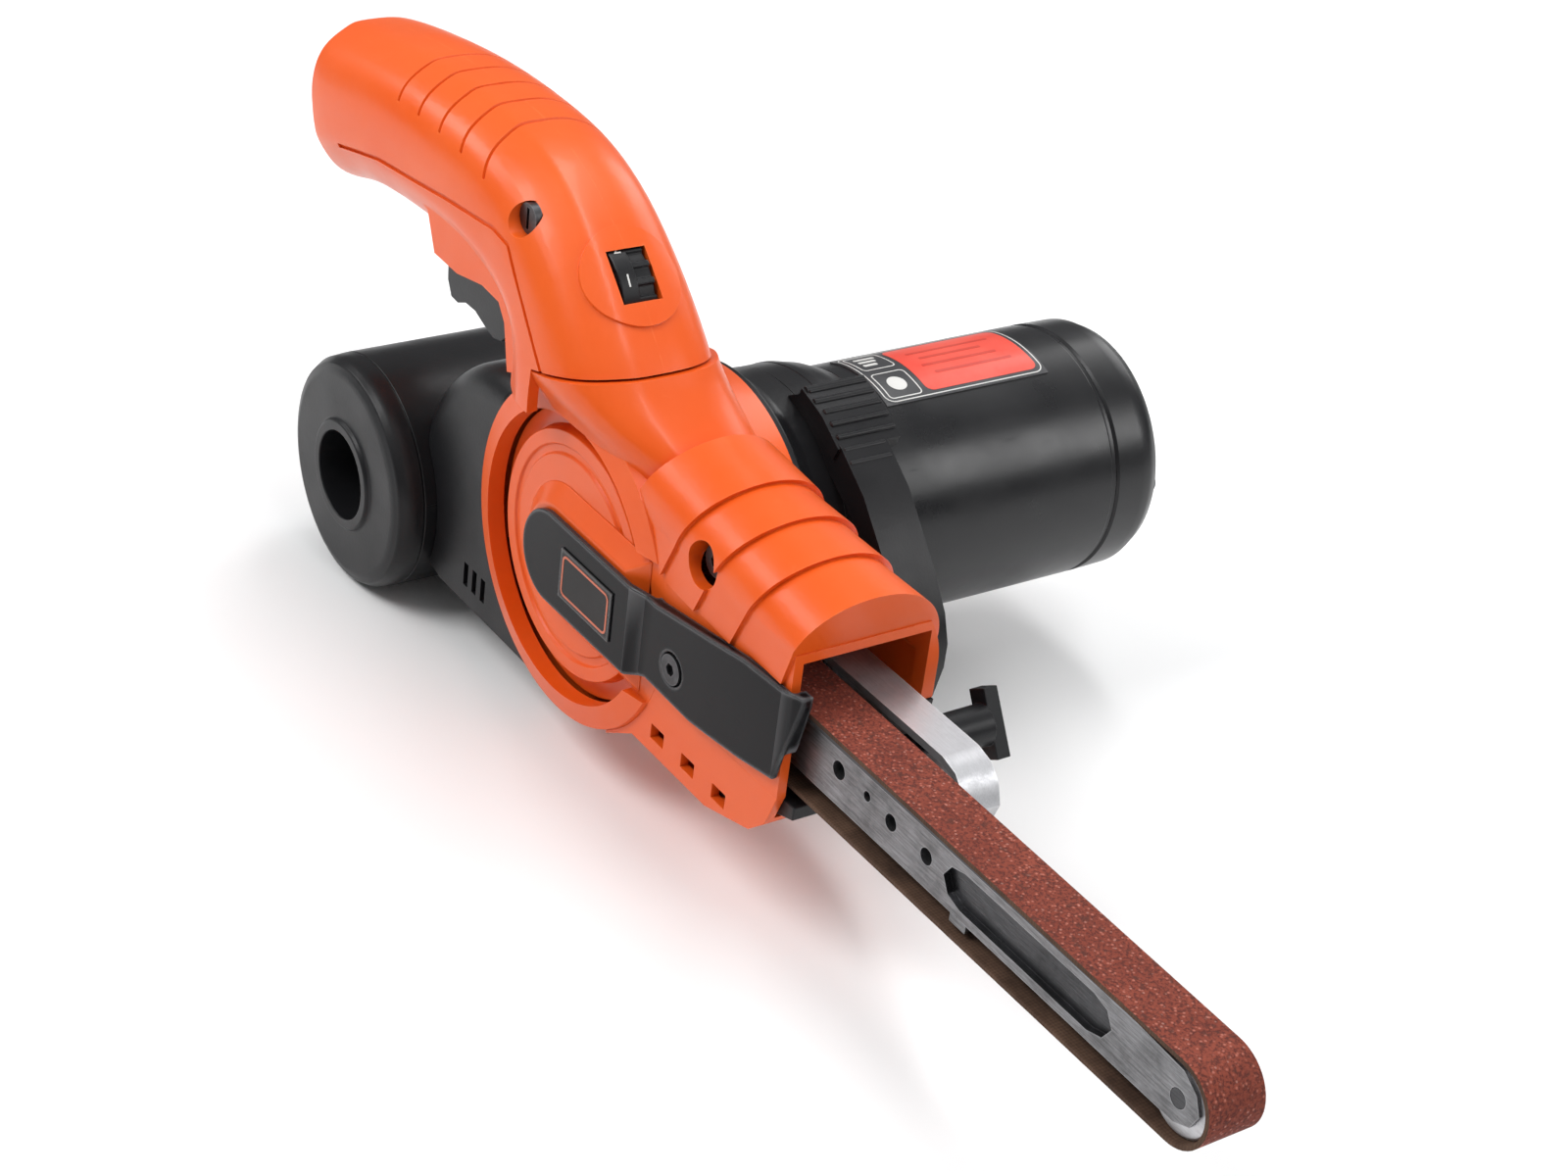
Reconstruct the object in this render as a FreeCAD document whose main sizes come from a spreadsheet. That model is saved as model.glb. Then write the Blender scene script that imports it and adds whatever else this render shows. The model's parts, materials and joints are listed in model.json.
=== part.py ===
import FreeCAD, Part

# Narrow-belt sander (power file): a motor whose shaft drives a 13 mm sanding belt directly, a long
# belt arm, a curved handle above the drum and a dust canister behind it.
#
# Everything is laid out about the drive axis: X runs forward along the belt arm, Y along the motor
# shaft towards the motor's end cap, Z up. The frame_* cells then move every sub-part so that the
# part's own origin is the middle of its footprint, on the surface that it stands on.

import math
import os
import re

import Sketcher
from FreeCAD import Placement, Rotation, Vector

# Driving dimensions, in millimetres and degrees.
DIMENSIONS = {
    "frame_forward": -44.2,
    "frame_side": -57.0,
    "frame_up": 52.7,
    "running_gap": 0.05,
    "belt_width": 13.0,
    "belt_thickness": 1.0,
    "pulley_radius": 9.5,
    "pulley_width": 14.0,
    "nose_forward": 198.4,
    "nose_radius": 8.0,
    "nose_width": 9.4,
    "nose_axle_radius": 2.0,
    "shaft_radius": 4.0,
    "shaft_end": 117.0,
    "bearing_radius": 11.0,
    "bearing_width": 7.0,
    "front_bearing_side": 13.0,
    "rear_bearing_side": 108.0,
    "rim_radius": 38.4,
    "recess_radius": 33.0,
    "drum_radius": 41.0,
    "drum_wall": 2.4,
    "cover_face": -10.4,
    "motor_radius": 30.3,
    "motor_wall": 2.0,
    "collar_radius": 33.3,
    "collar_end": 57.5,
    "track_radius": 31.6,
    "track_start": 40.0,
    "track_end": 46.0,
    "barrel_end": 119.0,
    "motor_end": 134.0,
    "stator_start": 60.0,
    "stator_end": 92.0,
    "stator_radius": 28.2,
    "stator_bore": 17.0,
    "rotor_radius": 16.4,
    "rotor_slots": 12,
    "commutator_radius": 10.5,
    "commutator_start": 97.5,
    "commutator_end": 105.5,
    "fan_radius": 25.5,
    "fan_side": 31.0,
    "fan_blades": 11,
    "snout_left": -10.4,
    "snout_right": 26.0,
    "snout_front": 83.0,
    "snout_wall": 2.2,
    "mouth_top": 20.8,
    "mouth_right": 23.0,
    "cover_low": -11.0,
    "right_cover_top": 4.0,
    "strip_screw_forward": 46.0,
    "strip_screw_up": -1.2,
    "snout_screw_forward": 49.0,
    "snout_screw_up": 25.0,
    "snout_pocket_radius": 5.0,
    "arm_half_width": 5.5,
    "arm_top": 7.0,
    "arm_bottom": -5.2,
    "arm_start": 30.0,
    "arm_end": 186.0,
    "arm_pivot_forward": 36.0,
    "bracket_start": 58.0,
    "bracket_end": 108.0,
    "bracket_inner": 9.0,
    "bracket_outer": 18.0,
    "bracket_top": 10.0,
    "bracket_sheet": 1.8,
    "rod_side": 14.0,
    "rod_radius": 2.0,
    "rod_start": 13.5,
    "rod_end": 62.0,
    "carriage_start": 28.0,
    "spring_radius": 3.9,
    "spring_wire": 1.1,
    "spring_turns": 5,
    "knob_forward": 94.5,
    "knob_up": 3.0,
    "lever_inner_side": 38.0,
    "lever_outer_side": 50.0,
    "trigger_half_width": 9.5,
    "trigger_pin_forward": -34.5,
    "trigger_pin_up": 46.8,
    "wheel_radius": 12.5,
    "wheel_forward": -10.2,
    "wheel_up": 56.6,
    "wheel_half_width": 4.2,
    "canister_forward": -89.0,
    "canister_up": -24.0,
    "canister_radius": 28.7,
    "canister_wall": 2.0,
    "canister_face": -20.0,
    "canister_end": 48.0,
    "port_radius": 11.0,
    "spigot_radius": 8.0,
    "spigot_side": 8.0,
    "duct_left": -10.0,
    "duct_right": 24.0,
    "duct_wall": 2.2,
    "handle_wall": 2.6,
    "seam_up": 45.6,
    "gland_bore": 3.6,
    "handle_screw_forward": -22.0,
    "handle_screw_up": 71.0,
    "screw_radius": 2.0,
    "screw_head_radius": 3.4,
}

doc = FreeCAD.newDocument("BeltSander")
dims = doc.addObject("Spreadsheet::Sheet", "Dims")
for row, (alias, number) in enumerate(DIMENSIONS.items(), 1):
    dims.set(f"A{row}", alias)
    dims.set(f"B{row}", str(number))
    dims.setAlias(f"B{row}", alias)
doc.recompute()

SUBPARTS = []
ORIGIN = ("0", "0", "0")
PLANES = {"X": ("YZ_Plane", 1), "Y": ("XZ_Plane", -1), "Z": ("XY_Plane", 1)}
DIRECTIONS = {"X": Vector(1, 0, 0), "Y": Vector(0, 1, 0), "Z": Vector(0, 0, 1)}


def bound(text):
    """An expression over the sheet: each alias in the text gets the sheet's name in front."""
    return re.sub(r"[a-z_]{3,}", lambda word: "Dims." + word.group(0), str(text))


def size(alias):
    """The number in the cell with this alias."""
    return float(dims.get(alias))


def keep(item, label, at=ORIGIN, turn=None):
    """Name a finished sub-part and put it in the part's own frame."""
    item.Label = label
    if turn is not None:
        item.Placement = Placement(Vector(), turn)
    for axis, cell, offset in zip("xyz", ("frame_forward", "frame_side", "frame_up"), at):
        item.setExpression(f"Placement.Base.{axis}", bound(f"{cell} + {offset}"))
    SUBPARTS.append(item)
    return item


# ---------------------------------------------------------------- sketches and PartDesign features


def new_body(name):
    return doc.addObject("PartDesign::Body", name)


def add_sketch(body, axis, level):
    """A sketch on the body's own origin plane that faces axis, at a level along the plane's normal."""
    role = PLANES[axis][0]
    plane = next(item for item in body.Origin.OriginFeatures if item.Role == role)
    sketch = body.newObject("Sketcher::SketchObject", f"{body.Name}_outline")
    sketch.AttachmentSupport = [(plane, "")]
    sketch.MapMode = "FlatFace"
    sketch.setExpression("AttachmentOffset.Base.z", bound(level))
    return sketch


def pin_point(sketch, geometry, point, across, along):
    """Hold one point of the sketch at the place that two expressions give."""
    for kind, text in (("DistanceX", across), ("DistanceY", along)):
        index = sketch.addConstraint(Sketcher.Constraint(kind, -1, 1, geometry, point, 1.0))
        sketch.setExpression(f"Constraints[{index}]", bound(text))


def polygon(*corners):
    """A closed outline of straight lines; each corner is a pair of numbers or expressions."""

    def draw(sketch):
        first = sketch.GeometryCount
        count = len(corners)
        start = []
        for index in range(count):
            angle = 2 * math.pi * index / count
            start.append(Vector(20 + 5 * math.cos(angle), 5 * math.sin(angle), 0))
        for index in range(count):
            sketch.addGeometry(Part.LineSegment(start[index], start[(index + 1) % count]), False)
        for index in range(count):
            following = first + (index + 1) % count
            sketch.addConstraint(Sketcher.Constraint("Coincident", first + index, 2, following, 1))
        for index, (across, along) in enumerate(corners):
            pin_point(sketch, first + index, 1, across, along)

    return draw


def rectangle(low, high):
    """A rectangle between two opposite corners."""
    (left, bottom), (right, top) = low, high
    return polygon((left, bottom), (right, bottom), (right, top), (left, top))


def circle(across, along, radius):
    """A circle about a point."""

    def draw(sketch):
        index = sketch.addGeometry(Part.Circle(Vector(20, 0, 0), Vector(0, 0, 1), 3), False)
        pin_point(sketch, index, 3, across, along)
        ring = sketch.addConstraint(Sketcher.Constraint("Radius", index, 3.0))
        sketch.setExpression(f"Constraints[{ring}]", bound(radius))

    return draw


def pad(body, axis, low, high, *outlines):
    """Add material between two levels along an axis."""
    sign = PLANES[axis][1]
    sketch = add_sketch(body, axis, low if sign > 0 else f"-({high})")
    for draw in outlines:
        draw(sketch)
    feature = body.newObject("PartDesign::Pad", f"{body.Name}_pad")
    feature.Profile = sketch
    feature.setExpression("Length", bound(f"({high}) - ({low})"))
    return feature


def pocket(body, axis, low, high, *outlines):
    """Take material away between two levels along an axis, and make sure that some went."""
    doc.recompute()
    before = body.Shape.Volume
    sign = PLANES[axis][1]
    sketch = add_sketch(body, axis, high if sign > 0 else f"-({low})")
    for draw in outlines:
        draw(sketch)
    feature = body.newObject("PartDesign::Pocket", f"{body.Name}_pocket")
    feature.Profile = sketch
    feature.setExpression("Length", bound(f"({high}) - ({low})"))
    doc.recompute()
    if not body.Shape.Volume < before - 0.01:
        raise RuntimeError(f"{feature.Name} cuts nothing")
    return feature


def turned(name, outline, angle=360):
    """A body turned about the Y axis; the outline's corners are (radius, distance along Y)."""
    body = new_body(name)
    sketch = add_sketch(body, "Z", "0")
    polygon(*outline)(sketch)
    feature = body.newObject("PartDesign::Revolution", f"{name}_turning")
    feature.Profile = sketch
    feature.ReferenceAxis = (sketch, ["V_Axis"])
    feature.Angle = angle
    feature.Midplane = angle < 360
    return body


def polar(body, feature, count):
    """Repeat a feature evenly about the body's Y axis."""
    axis = next(item for item in body.Origin.OriginFeatures if item.Role == "Y_Axis")
    pattern = body.newObject("PartDesign::PolarPattern", f"{body.Name}_polar")
    pattern.Originals = [feature]
    pattern.Axis = (axis, [""])
    pattern.Angle = 360
    pattern.setExpression("Occurrences", bound(count))
    body.Tip = pattern
    return pattern


# ------------------------------------------------------------------------ Part primitives, booleans


def box(along_x, along_y, along_z):
    """A box between the two levels given along each axis."""
    item = doc.addObject("Part::Box", "block")
    for side, axis, (low, high) in zip(("Length", "Width", "Height"), "xyz", (along_x, along_y, along_z)):
        item.setExpression(side, bound(f"({high}) - ({low})"))
        item.setExpression(f"Placement.Base.{axis}", bound(low))
    return item


def rod(axis, radius, low, high, at=(0, 0)):
    """A cylinder along an axis between two levels; at gives its place on the other two axes."""
    item = doc.addObject("Part::Cylinder", "rod")
    item.setExpression("Radius", bound(radius))
    item.setExpression("Height", bound(f"({high}) - ({low})"))
    item.Placement = Placement(Vector(), Rotation(DIRECTIONS["Z"], DIRECTIONS[axis]))
    others = [letter for letter in "XYZ" if letter != axis]
    places = dict(zip(others, at))
    places[axis] = low
    for letter, place in places.items():
        item.setExpression(f"Placement.Base.{letter.lower()}", bound(place))
    return item


def prism(axis, low, high, *outlines):
    """A plain pad in a body of its own, for use in booleans."""
    body = new_body("prism")
    pad(body, axis, low, high, *outlines)
    return body


def fused(*items):
    item = doc.addObject("Part::MultiFuse", "fused")
    item.Shapes = list(items)
    return item


def cut(base, *tools):
    item = doc.addObject("Part::Cut", "cut")
    item.Base = base
    item.Tool = tools[0] if len(tools) == 1 else fused(*tools)
    return item


def common(first, second):
    item = doc.addObject("Part::MultiCommon", "common")
    item.Shapes = [first, second]
    return item


def group(*items):
    """Several separate solids in one sub-part."""
    item = doc.addObject("Part::Compound", "group")
    item.Links = list(items)
    return item


def shape(name, solid):
    """A sub-part whose solid is worked out here from the sheet's sizes."""
    item = doc.addObject("Part::Feature", name)
    item.Shape = solid
    return item


# ---------------------------------------------------------------------------------- rotating parts


def make_drive_pulley():
    half = "pulley_width / 2"
    body = turned(
        "drive_pulley",
        [("shaft_radius", f"-{half}"), ("pulley_radius - 0.6", f"-{half}"),
         ("pulley_radius", f"-{half} + 0.6"),
         ("pulley_radius", f"{half} - 0.6"), ("pulley_radius - 0.6", half), ("shaft_radius", half)],
    )
    keep(body, "drive_pulley")


def make_rotor_shaft():
    body = turned(
        "rotor_shaft",
        [(0, -8), ("shaft_radius - 0.6", -8), ("shaft_radius", -7.4), ("shaft_radius", "shaft_end - 0.6"),
         ("shaft_radius - 0.6", "shaft_end"), (0, "shaft_end")],
    )
    keep(body, "rotor_shaft")


def make_rotor_core():
    body = turned(
        "rotor_core",
        [("shaft_radius", "stator_start"), ("rotor_radius", "stator_start"), ("rotor_radius", "stator_end"),
         ("shaft_radius", "stator_end")],
    )
    slot = pocket(
        body, "Y", "stator_start", "stator_end",
        polygon((10, -1.6), ("rotor_radius - 1.4", -2.2), ("rotor_radius - 1.4", -0.8),
                ("rotor_radius + 1", -0.8),
                ("rotor_radius + 1", 0.8), ("rotor_radius - 1.4", 0.8), ("rotor_radius - 1.4", 2.2),
                (10, 1.6)),
    )
    polar(body, slot, "rotor_slots")
    keep(body, "rotor_core")


def make_rotor_windings():
    """The copper end turns that stand out of the core at both ends."""
    front = turned(
        "front_turns",
        [("shaft_radius + 0.5", "stator_start - 4"), (11, "stator_start - 4"), (14.2, "stator_start - 2.4"),
         (14.8, "stator_start"), ("shaft_radius + 0.5", "stator_start")],
    )
    rear = turned(
        "rear_turns",
        [("shaft_radius + 0.5", "stator_end"), (14.8, "stator_end"), (14.2, "stator_end + 2.4"),
         (11, "stator_end + 4.5"), ("shaft_radius + 0.5", "stator_end + 4.5")],
    )
    keep(group(front, rear), "rotor_windings")


def make_commutator():
    body = turned(
        "commutator",
        [("shaft_radius", "commutator_start"), ("commutator_radius + 1.2", "commutator_start"),
         ("commutator_radius + 1.2", "commutator_start + 1.2"),
         ("commutator_radius", "commutator_start + 1.2"),
         ("commutator_radius", "commutator_end"), ("shaft_radius", "commutator_end")],
    )
    slot = pocket(
        body, "Y", "commutator_start + 1.2", "commutator_end",
        rectangle(("commutator_radius - 0.6", -0.3), ("commutator_radius + 1", 0.3)),
    )
    polar(body, slot, "2 * rotor_slots")
    keep(body, "commutator")


def make_cooling_fan():
    body = turned(
        "cooling_fan",
        [("shaft_radius", "fan_side"), ("fan_radius", "fan_side"), ("fan_radius", "fan_side + 1.4"),
         (9, "fan_side + 3"), (9, "fan_side + 9"), ("shaft_radius", "fan_side + 9")],
    )
    blade = pad(
        body, "Y", "fan_side + 1", "fan_side + 8",
        polygon((8, -0.7), ("fan_radius - 0.3", 4.4), ("fan_radius - 0.5", 5.8), (8, 0.7)),
    )
    polar(body, blade, "fan_blades")
    keep(body, "cooling_fan")


def make_nose_roller():
    half = "nose_width / 2"
    bore = "nose_axle_radius + running_gap"
    body = turned(
        "nose_roller",
        [(bore, f"-{half}"), ("nose_radius - 0.5", f"-{half}"), ("nose_radius", f"-{half} + 0.5"),
         ("nose_radius", f"{half} - 0.5"), ("nose_radius - 0.5", half), (bore, half)],
    )
    keep(body, "nose_roller", at=("nose_forward", "0", "0"))


# ------------------------------------------------------------------------------- motor, fixed parts


def make_bearing(label, side):
    """A sealed ball bearing: outer ring, shield set back on both faces, and a running bore."""
    bore = "shaft_radius + running_gap"
    far = f"{side} + bearing_width"
    body = turned(
        label,
        [(bore, side), (6.2, side), (6.2, f"{side} + 0.6"), (9.2, f"{side} + 0.6"), (9.2, side),
         ("bearing_radius", side), ("bearing_radius", far), (9.2, far), (9.2, f"{far} - 0.6"),
         (6.2, f"{far} - 0.6"), (6.2, far), (bore, far)],
    )
    keep(body, label)


def make_bearing_plate():
    """The die-cast plate between drum and motor that holds the front bearing."""
    body = turned(
        "bearing_plate",
        [("bearing_radius", "front_bearing_side"), (13.5, "front_bearing_side"), (13.5, 23.4), (35.3, 23.4),
         (35.3, 26.9), ("bearing_radius - 3", 26.9), ("bearing_radius - 3",
                                                      "front_bearing_side + bearing_width"),
         ("bearing_radius", "front_bearing_side + bearing_width")],
    )
    window = pocket(body, "Y", 23.4, 26.9, circle(24.5, 0, 4.6))
    polar(body, window, 8)
    keep(body, "bearing_plate")


def make_stator_core():
    """A two-pole laminated field core, with a window each side of each pole for its coil."""
    ring = rod("Y", "stator_radius", "stator_start", "stator_end")
    bore = rod("Y", "stator_bore", "stator_start - 1", "stator_end + 1")
    windows = []
    for low, high in ((38, 66), (114, 142), (218, 246), (294, 322)):
        corners = []
        for radius, angle in ((15, low), (26, low), (26, high), (15, high)):
            turn = math.radians(angle)
            corners.append((round(radius * math.cos(turn), 3), round(radius * math.sin(turn), 3)))
        windows.append(prism("Y", "stator_start - 1", "stator_end + 1", polygon(*corners)))
    keep(cut(ring, bore, *windows), "stator_core")


def make_field_coils():
    """One copper coil for each pole: it runs through the core's windows and bends over the ends."""
    coils = []
    for side in (1, -1):
        outer = rod("Y", 24.6, "stator_start - 4", "stator_end + 4")
        inner = rod("Y", 18.2, "stator_start - 5", "stator_end + 5")
        band = cut(outer, inner)
        wedge = prism(
            "Y", "stator_start - 5", "stator_end + 5",
            polygon((0, 0), (round(30 * math.cos(math.radians(42)), 3),
                             round(side * 30 * math.sin(math.radians(42)), 3)),
                    (0, side * 40),
                    (round(-30 * math.cos(math.radians(42)), 3),
                     round(side * 30 * math.sin(math.radians(42)), 3))),
        )
        pole = prism(
            "Y", "stator_start - 0.3", "stator_end + 0.3",
            polygon((0, 0), (round(40 * math.cos(math.radians(63)), 3),
                             round(side * 40 * math.sin(math.radians(63)), 3)),
                    (round(-40 * math.cos(math.radians(63)), 3),
                     round(side * 40 * math.sin(math.radians(63)), 3))),
        )
        coils.append(cut(common(band, wedge), pole))
    keep(group(*coils), "field_coils")


def make_brush_gear():
    """Two brass brush holders, one each side of the commutator, and the carbons that run in them."""
    holders = []
    carbons = []
    for sign in (1, -1):
        near, far = (12.5, 27.9) if sign > 0 else (-27.9, -12.5)
        sleeve = box((near, far), (97.9, 105.3), (-4.6, 4.6))
        hollow = box((near - 1, far + 1), (98.9, 104.3), (-3.4, 3.4))
        holders.append(cut(sleeve, hollow))
        low, high = (10.6, 23) if sign > 0 else (-23, -10.6)
        carbons.append(box((low, high), (99, 104.2), (-3.3, 3.3)))
    keep(group(*holders), "brush_holders")
    keep(group(*carbons), "carbon_brushes")


def make_rear_bearing_bracket():
    """The moulded spider inside the motor's rear end: bearing seat, rim and open air windows."""
    start = "rear_bearing_side"
    far = "rear_bearing_side + bearing_width"
    body = turned(
        "rear_bearing_bracket",
        [("bearing_radius", start), (13.2, start), (13.2, f"{far} - 3"),
         ("motor_radius - motor_wall", f"{far} - 3"),
         ("motor_radius - motor_wall", far), ("bearing_radius - 2.5", far),
         ("bearing_radius - 2.5", f"{far} + 0.01"),
         ("bearing_radius", f"{far} + 0.01")],
    )
    window = pocket(body, "Y", f"{far} - 3", far, circle(20.8, 0, 4.2))
    polar(body, window, 8)
    keep(body, "rear_bearing_bracket")


def make_motor_collar():
    """The dark ring between drum and motor barrel, with the track that the tension lever turns in."""
    inner = "motor_radius - motor_wall"
    body = turned(
        "motor_collar",
        [(35.2, 27), (37.6, 27), (37.6, 28.6), (35, 30.4), ("collar_radius", 34),
         ("collar_radius", "track_start"),
         ("track_radius", "track_start"), ("track_radius", "track_end"), ("collar_radius", "track_end"),
         ("collar_radius", 47.6), (32.2, 52.6), ("motor_radius", "collar_end"), (inner, "collar_end"),
         (inner, 31),
         (33, 28.8)],
    )
    keep(body, "motor_collar")


def make_motor_barrel():
    inner = "motor_radius - motor_wall"
    body = turned(
        "motor_barrel",
        [(inner, "collar_end"), ("motor_radius", "collar_end"), ("motor_radius", "barrel_end - 1.6"),
         ("motor_radius - 0.5", "barrel_end - 1.2"), ("motor_radius - 0.5", "barrel_end"),
         (inner, "barrel_end")],
    )
    for low in (24.2, -25.2):
        pocket(body, "Z", low, low + 1, rectangle(("-motor_radius - 2", 60), ("motor_radius + 2", 60.5)))
    keep(body, "motor_barrel")


def make_motor_end_cap():
    wall = "motor_wall"
    body = turned(
        "motor_end_cap",
        [(f"motor_radius - {wall}", "barrel_end"), ("motor_radius - 0.5", "barrel_end"),
         ("motor_radius", "barrel_end + 0.6"), ("motor_radius - 0.2", "motor_end - 5"),
         ("motor_radius - 1.6", "motor_end - 2"), ("motor_radius - 4.2", "motor_end"), (0, "motor_end"),
         (0, f"motor_end - {wall}"), (f"motor_radius - 4.2", f"motor_end - {wall}"),
         (f"motor_radius - {wall} - 0.4", "motor_end - 5")],
    )
    vent = pocket(body, "Y", f"motor_end - {wall} - 0.5", "motor_end + 0.5",
                  rectangle((9.5, -1.1), (18.8, 1.1)))
    polar(body, vent, 14)
    keep(body, "motor_end_cap")


def make_rating_label():
    """A blank adhesive plate on top of the barrel."""
    body = turned(
        "rating_label",
        [("motor_radius", 62), ("motor_radius + 0.3", 62), ("motor_radius + 0.3", 108),
         ("motor_radius", 108)],
        angle=44,
    )
    keep(body, "rating_label", turn=Rotation(DIRECTIONS["Y"], -90))


# ------------------------------------------------------------------------------------ drum and covers


# Stations up the neck and back along the handle: (forward, up) of the front or upper line, the same
# of the rear or lower line, and half the width.
HANDLE_STATIONS = [
    ((22, 33), (-31, 28), 19.5),
    ((17.5, 44), (-30, 40), 19.5),
    ((8, 55), (-31, 45.5), 19.0),
    ((-3, 65.5), (-35, 48), 18.6),
    ((-16, 75.5), (-43, 49), 18.4),
    ((-33, 82.3), (-52, 49.5), 18.6),
    ((-56, 84.5), (-64, 49.5), 19.0),
    ((-78, 84), (-80, 48.5), 19.2),
    ((-97, 82), (-94, 46.5), 19.2),
    ((-111, 79.8), (-104, 43.8), 19.2),
    ((-119, 78.2), (-109, 42.2), 18.8),
]


def rounded_ring(centre, reach, side):
    """A closed, rounded cross-section about a centre: reach and side are its half axes."""
    roundness = 2 / 2.4
    edges = []
    for quarter in range(4):
        points = []
        for step in range(5):
            angle = math.pi / 2 * (quarter + step / 4)
            along, across = round(math.cos(angle), 9), round(math.sin(angle), 9)
            along = math.copysign(abs(along) ** roundness, along)
            across = math.copysign(abs(across) ** roundness, across)
            points.append(centre + reach * along + side * across)
        axes = [side, reach * -1, side * -1, reach]
        curve = Part.BSplineCurve()
        curve.interpolate(points, InitialTangent=axes[quarter], FinalTangent=axes[(quarter + 1) % 4])
        edges.append(curve.toShape())
    return Part.Wire(edges)


def handle_solid(stations, inset):
    """The handle's solid, or its hollow when inset by the wall."""
    rings = []
    for front, rear, half_width in stations:
        across = Vector(front[0] - rear[0], 0, front[1] - rear[1]).normalize() * inset
        upper = Vector(front[0], 0, front[1]) - across
        lower = Vector(rear[0], 0, rear[1]) + across
        rings.append(rounded_ring((upper + lower) * 0.5, (upper - lower) * 0.5,
                                  Vector(0, half_width - inset, 0)))
    return Part.makeLoft(rings, True, False)


DRUM_OUTSIDE = [
    ("rim_radius", -11.4), (40.2, -6), ("drum_radius", 2), ("drum_radius - 0.2", 12), (39.8, 20), (38, 26.95),
]


def drum_envelope():
    """Everything inside the drum's outer surface, for trimming the pieces that sit on it."""
    outline = [(0, -11.4)] + DRUM_OUTSIDE + [(0, 26.95)]
    return turned("drum_envelope", outline)


def socket_block(inset):
    """The socket's solid form under the seam, drawn in by an inset."""
    rings = [socket_ring(*ring, inset) for ring in SOCKET_RINGS]
    return common(shape("socket_form", Part.makeLoft(rings, True, False)),
                  below_seam(0.6 if inset == 0 else 0))


def make_drum_housing():
    wall = "drum_wall"
    inside = [
        (f"38 - {wall}", 26.95), (f"39.8 - {wall}", 20), (f"drum_radius - {wall} - 0.2", 12),
        (f"drum_radius - {wall}", 2), (f"40.2 - {wall}", -5), (36, -8.6), ("recess_radius", -8.6),
    ]
    shell = turned("drum_shell", [("recess_radius", -12.8)] + DRUM_OUTSIDE + inside)
    arm_window = box((22, 46), (-8.6, 27.5), (-24, 23))
    strip_notch = box((20, 46), (-13, "cover_face"), (-17.2, 17.2))
    dust_window = box((-50, -24), (-6, 20), (-33, -15))
    wire_hole = rod("Z", 8, 20, 50, at=(-6, 8))
    drum = cut(shell, arm_window, strip_notch, dust_window, wire_hole)
    socket = cut(socket_block(0), socket_block(3.2), drum_envelope(), under_overhang())
    keep(fused(drum, socket), "drum_housing")


def make_disc_cover():
    body = turned(
        "disc_cover",
        [(0, -8.2), (0, "cover_face"), (22.6, "cover_face"), (23, -9.7), (24.6, -9.7), (25, "cover_face"),
         (28.2, "cover_face"), (28.8, -7.4), ("recess_radius - 0.1", -7.4), ("recess_radius - 0.1", -6.9),
         (27, -6.9), (26.4, -8.2)],
    )
    keep(body, "disc_cover")


def boss_outline(side, radius, end):
    """The boss's outline at one depth: a half circle behind and straight sides forward to its end."""
    forward, up = -2.0, -0.4
    top = Vector(forward, side, up + radius)
    bottom = Vector(forward, side, up - radius)
    front_top = Vector(end, side, up + radius)
    front_bottom = Vector(end, side, up - radius)
    edges = [
        Part.Arc(top, Vector(forward - radius, side, up), bottom).toShape(),
        Part.LineSegment(bottom, front_bottom).toShape(),
        Part.LineSegment(front_bottom, front_top).toShape(),
        Part.LineSegment(front_top, top).toShape(),
    ]
    return Part.Wire(edges)


def make_side_boss():
    """The raised land on the disc, with a wide sloped edge, that carries the side strip's rear half."""
    face = size("cover_face")
    land = Part.makeLoft([boss_outline(face, 16.4, 31.5), boss_outline(-13.6, 11.9, 26)], True, True)
    keep(shape("side_boss", land), "side_boss")


def make_side_strip():
    """The glossy strip along the left side: it steps inwards ahead of the boss and wraps the corner."""
    side_view = fused(
        rod("Y", 10.9, -17, -5, at=(-2, -0.4)),
        prism("Y", -17, -5, polygon((-2, -11.3), (31, -11), (37, -8.6), (54, -9.4), (71, -7.8), (82.5, -6),
                                    (87.5, 15.4), (69, 14.8), (52, 12.2), (38, 10), (31, 10.5), (-2, 10.5))),
    )
    plan = prism("Z", -14, 18, polygon((-14, -13.65), (-14, -15.2), (30.5, -15.2), (34.5, -13.6), (60, -13),
                                       (82, -12),
                                       (87, -10), (87, -7.6), (84, -7.6), (84, -10.45), (36, -10.45),
                                       (36, -11.6),
                                       (29.8, -13.65)))
    screw_seat = rod("Y", "screw_head_radius + 0.3", -16, -12.2, at=("strip_screw_forward", "strip_screw_up"))
    screw_hole = rod("Y", "screw_radius", -16, -10, at=("strip_screw_forward", "strip_screw_up"))
    keep(cut(common(side_view, plan), screw_seat, screw_hole), "side_strip")


def make_badge_plate():
    """A plain raised plate on the rear strip, with no mark on it."""
    body = new_body("badge_plate")
    pad(body, "Y", -15.7, -15.2, polygon((4, -6.4), (25, -6.4), (25, 5.6), (4, 5.6)))
    keep(body, "badge_plate")


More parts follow.
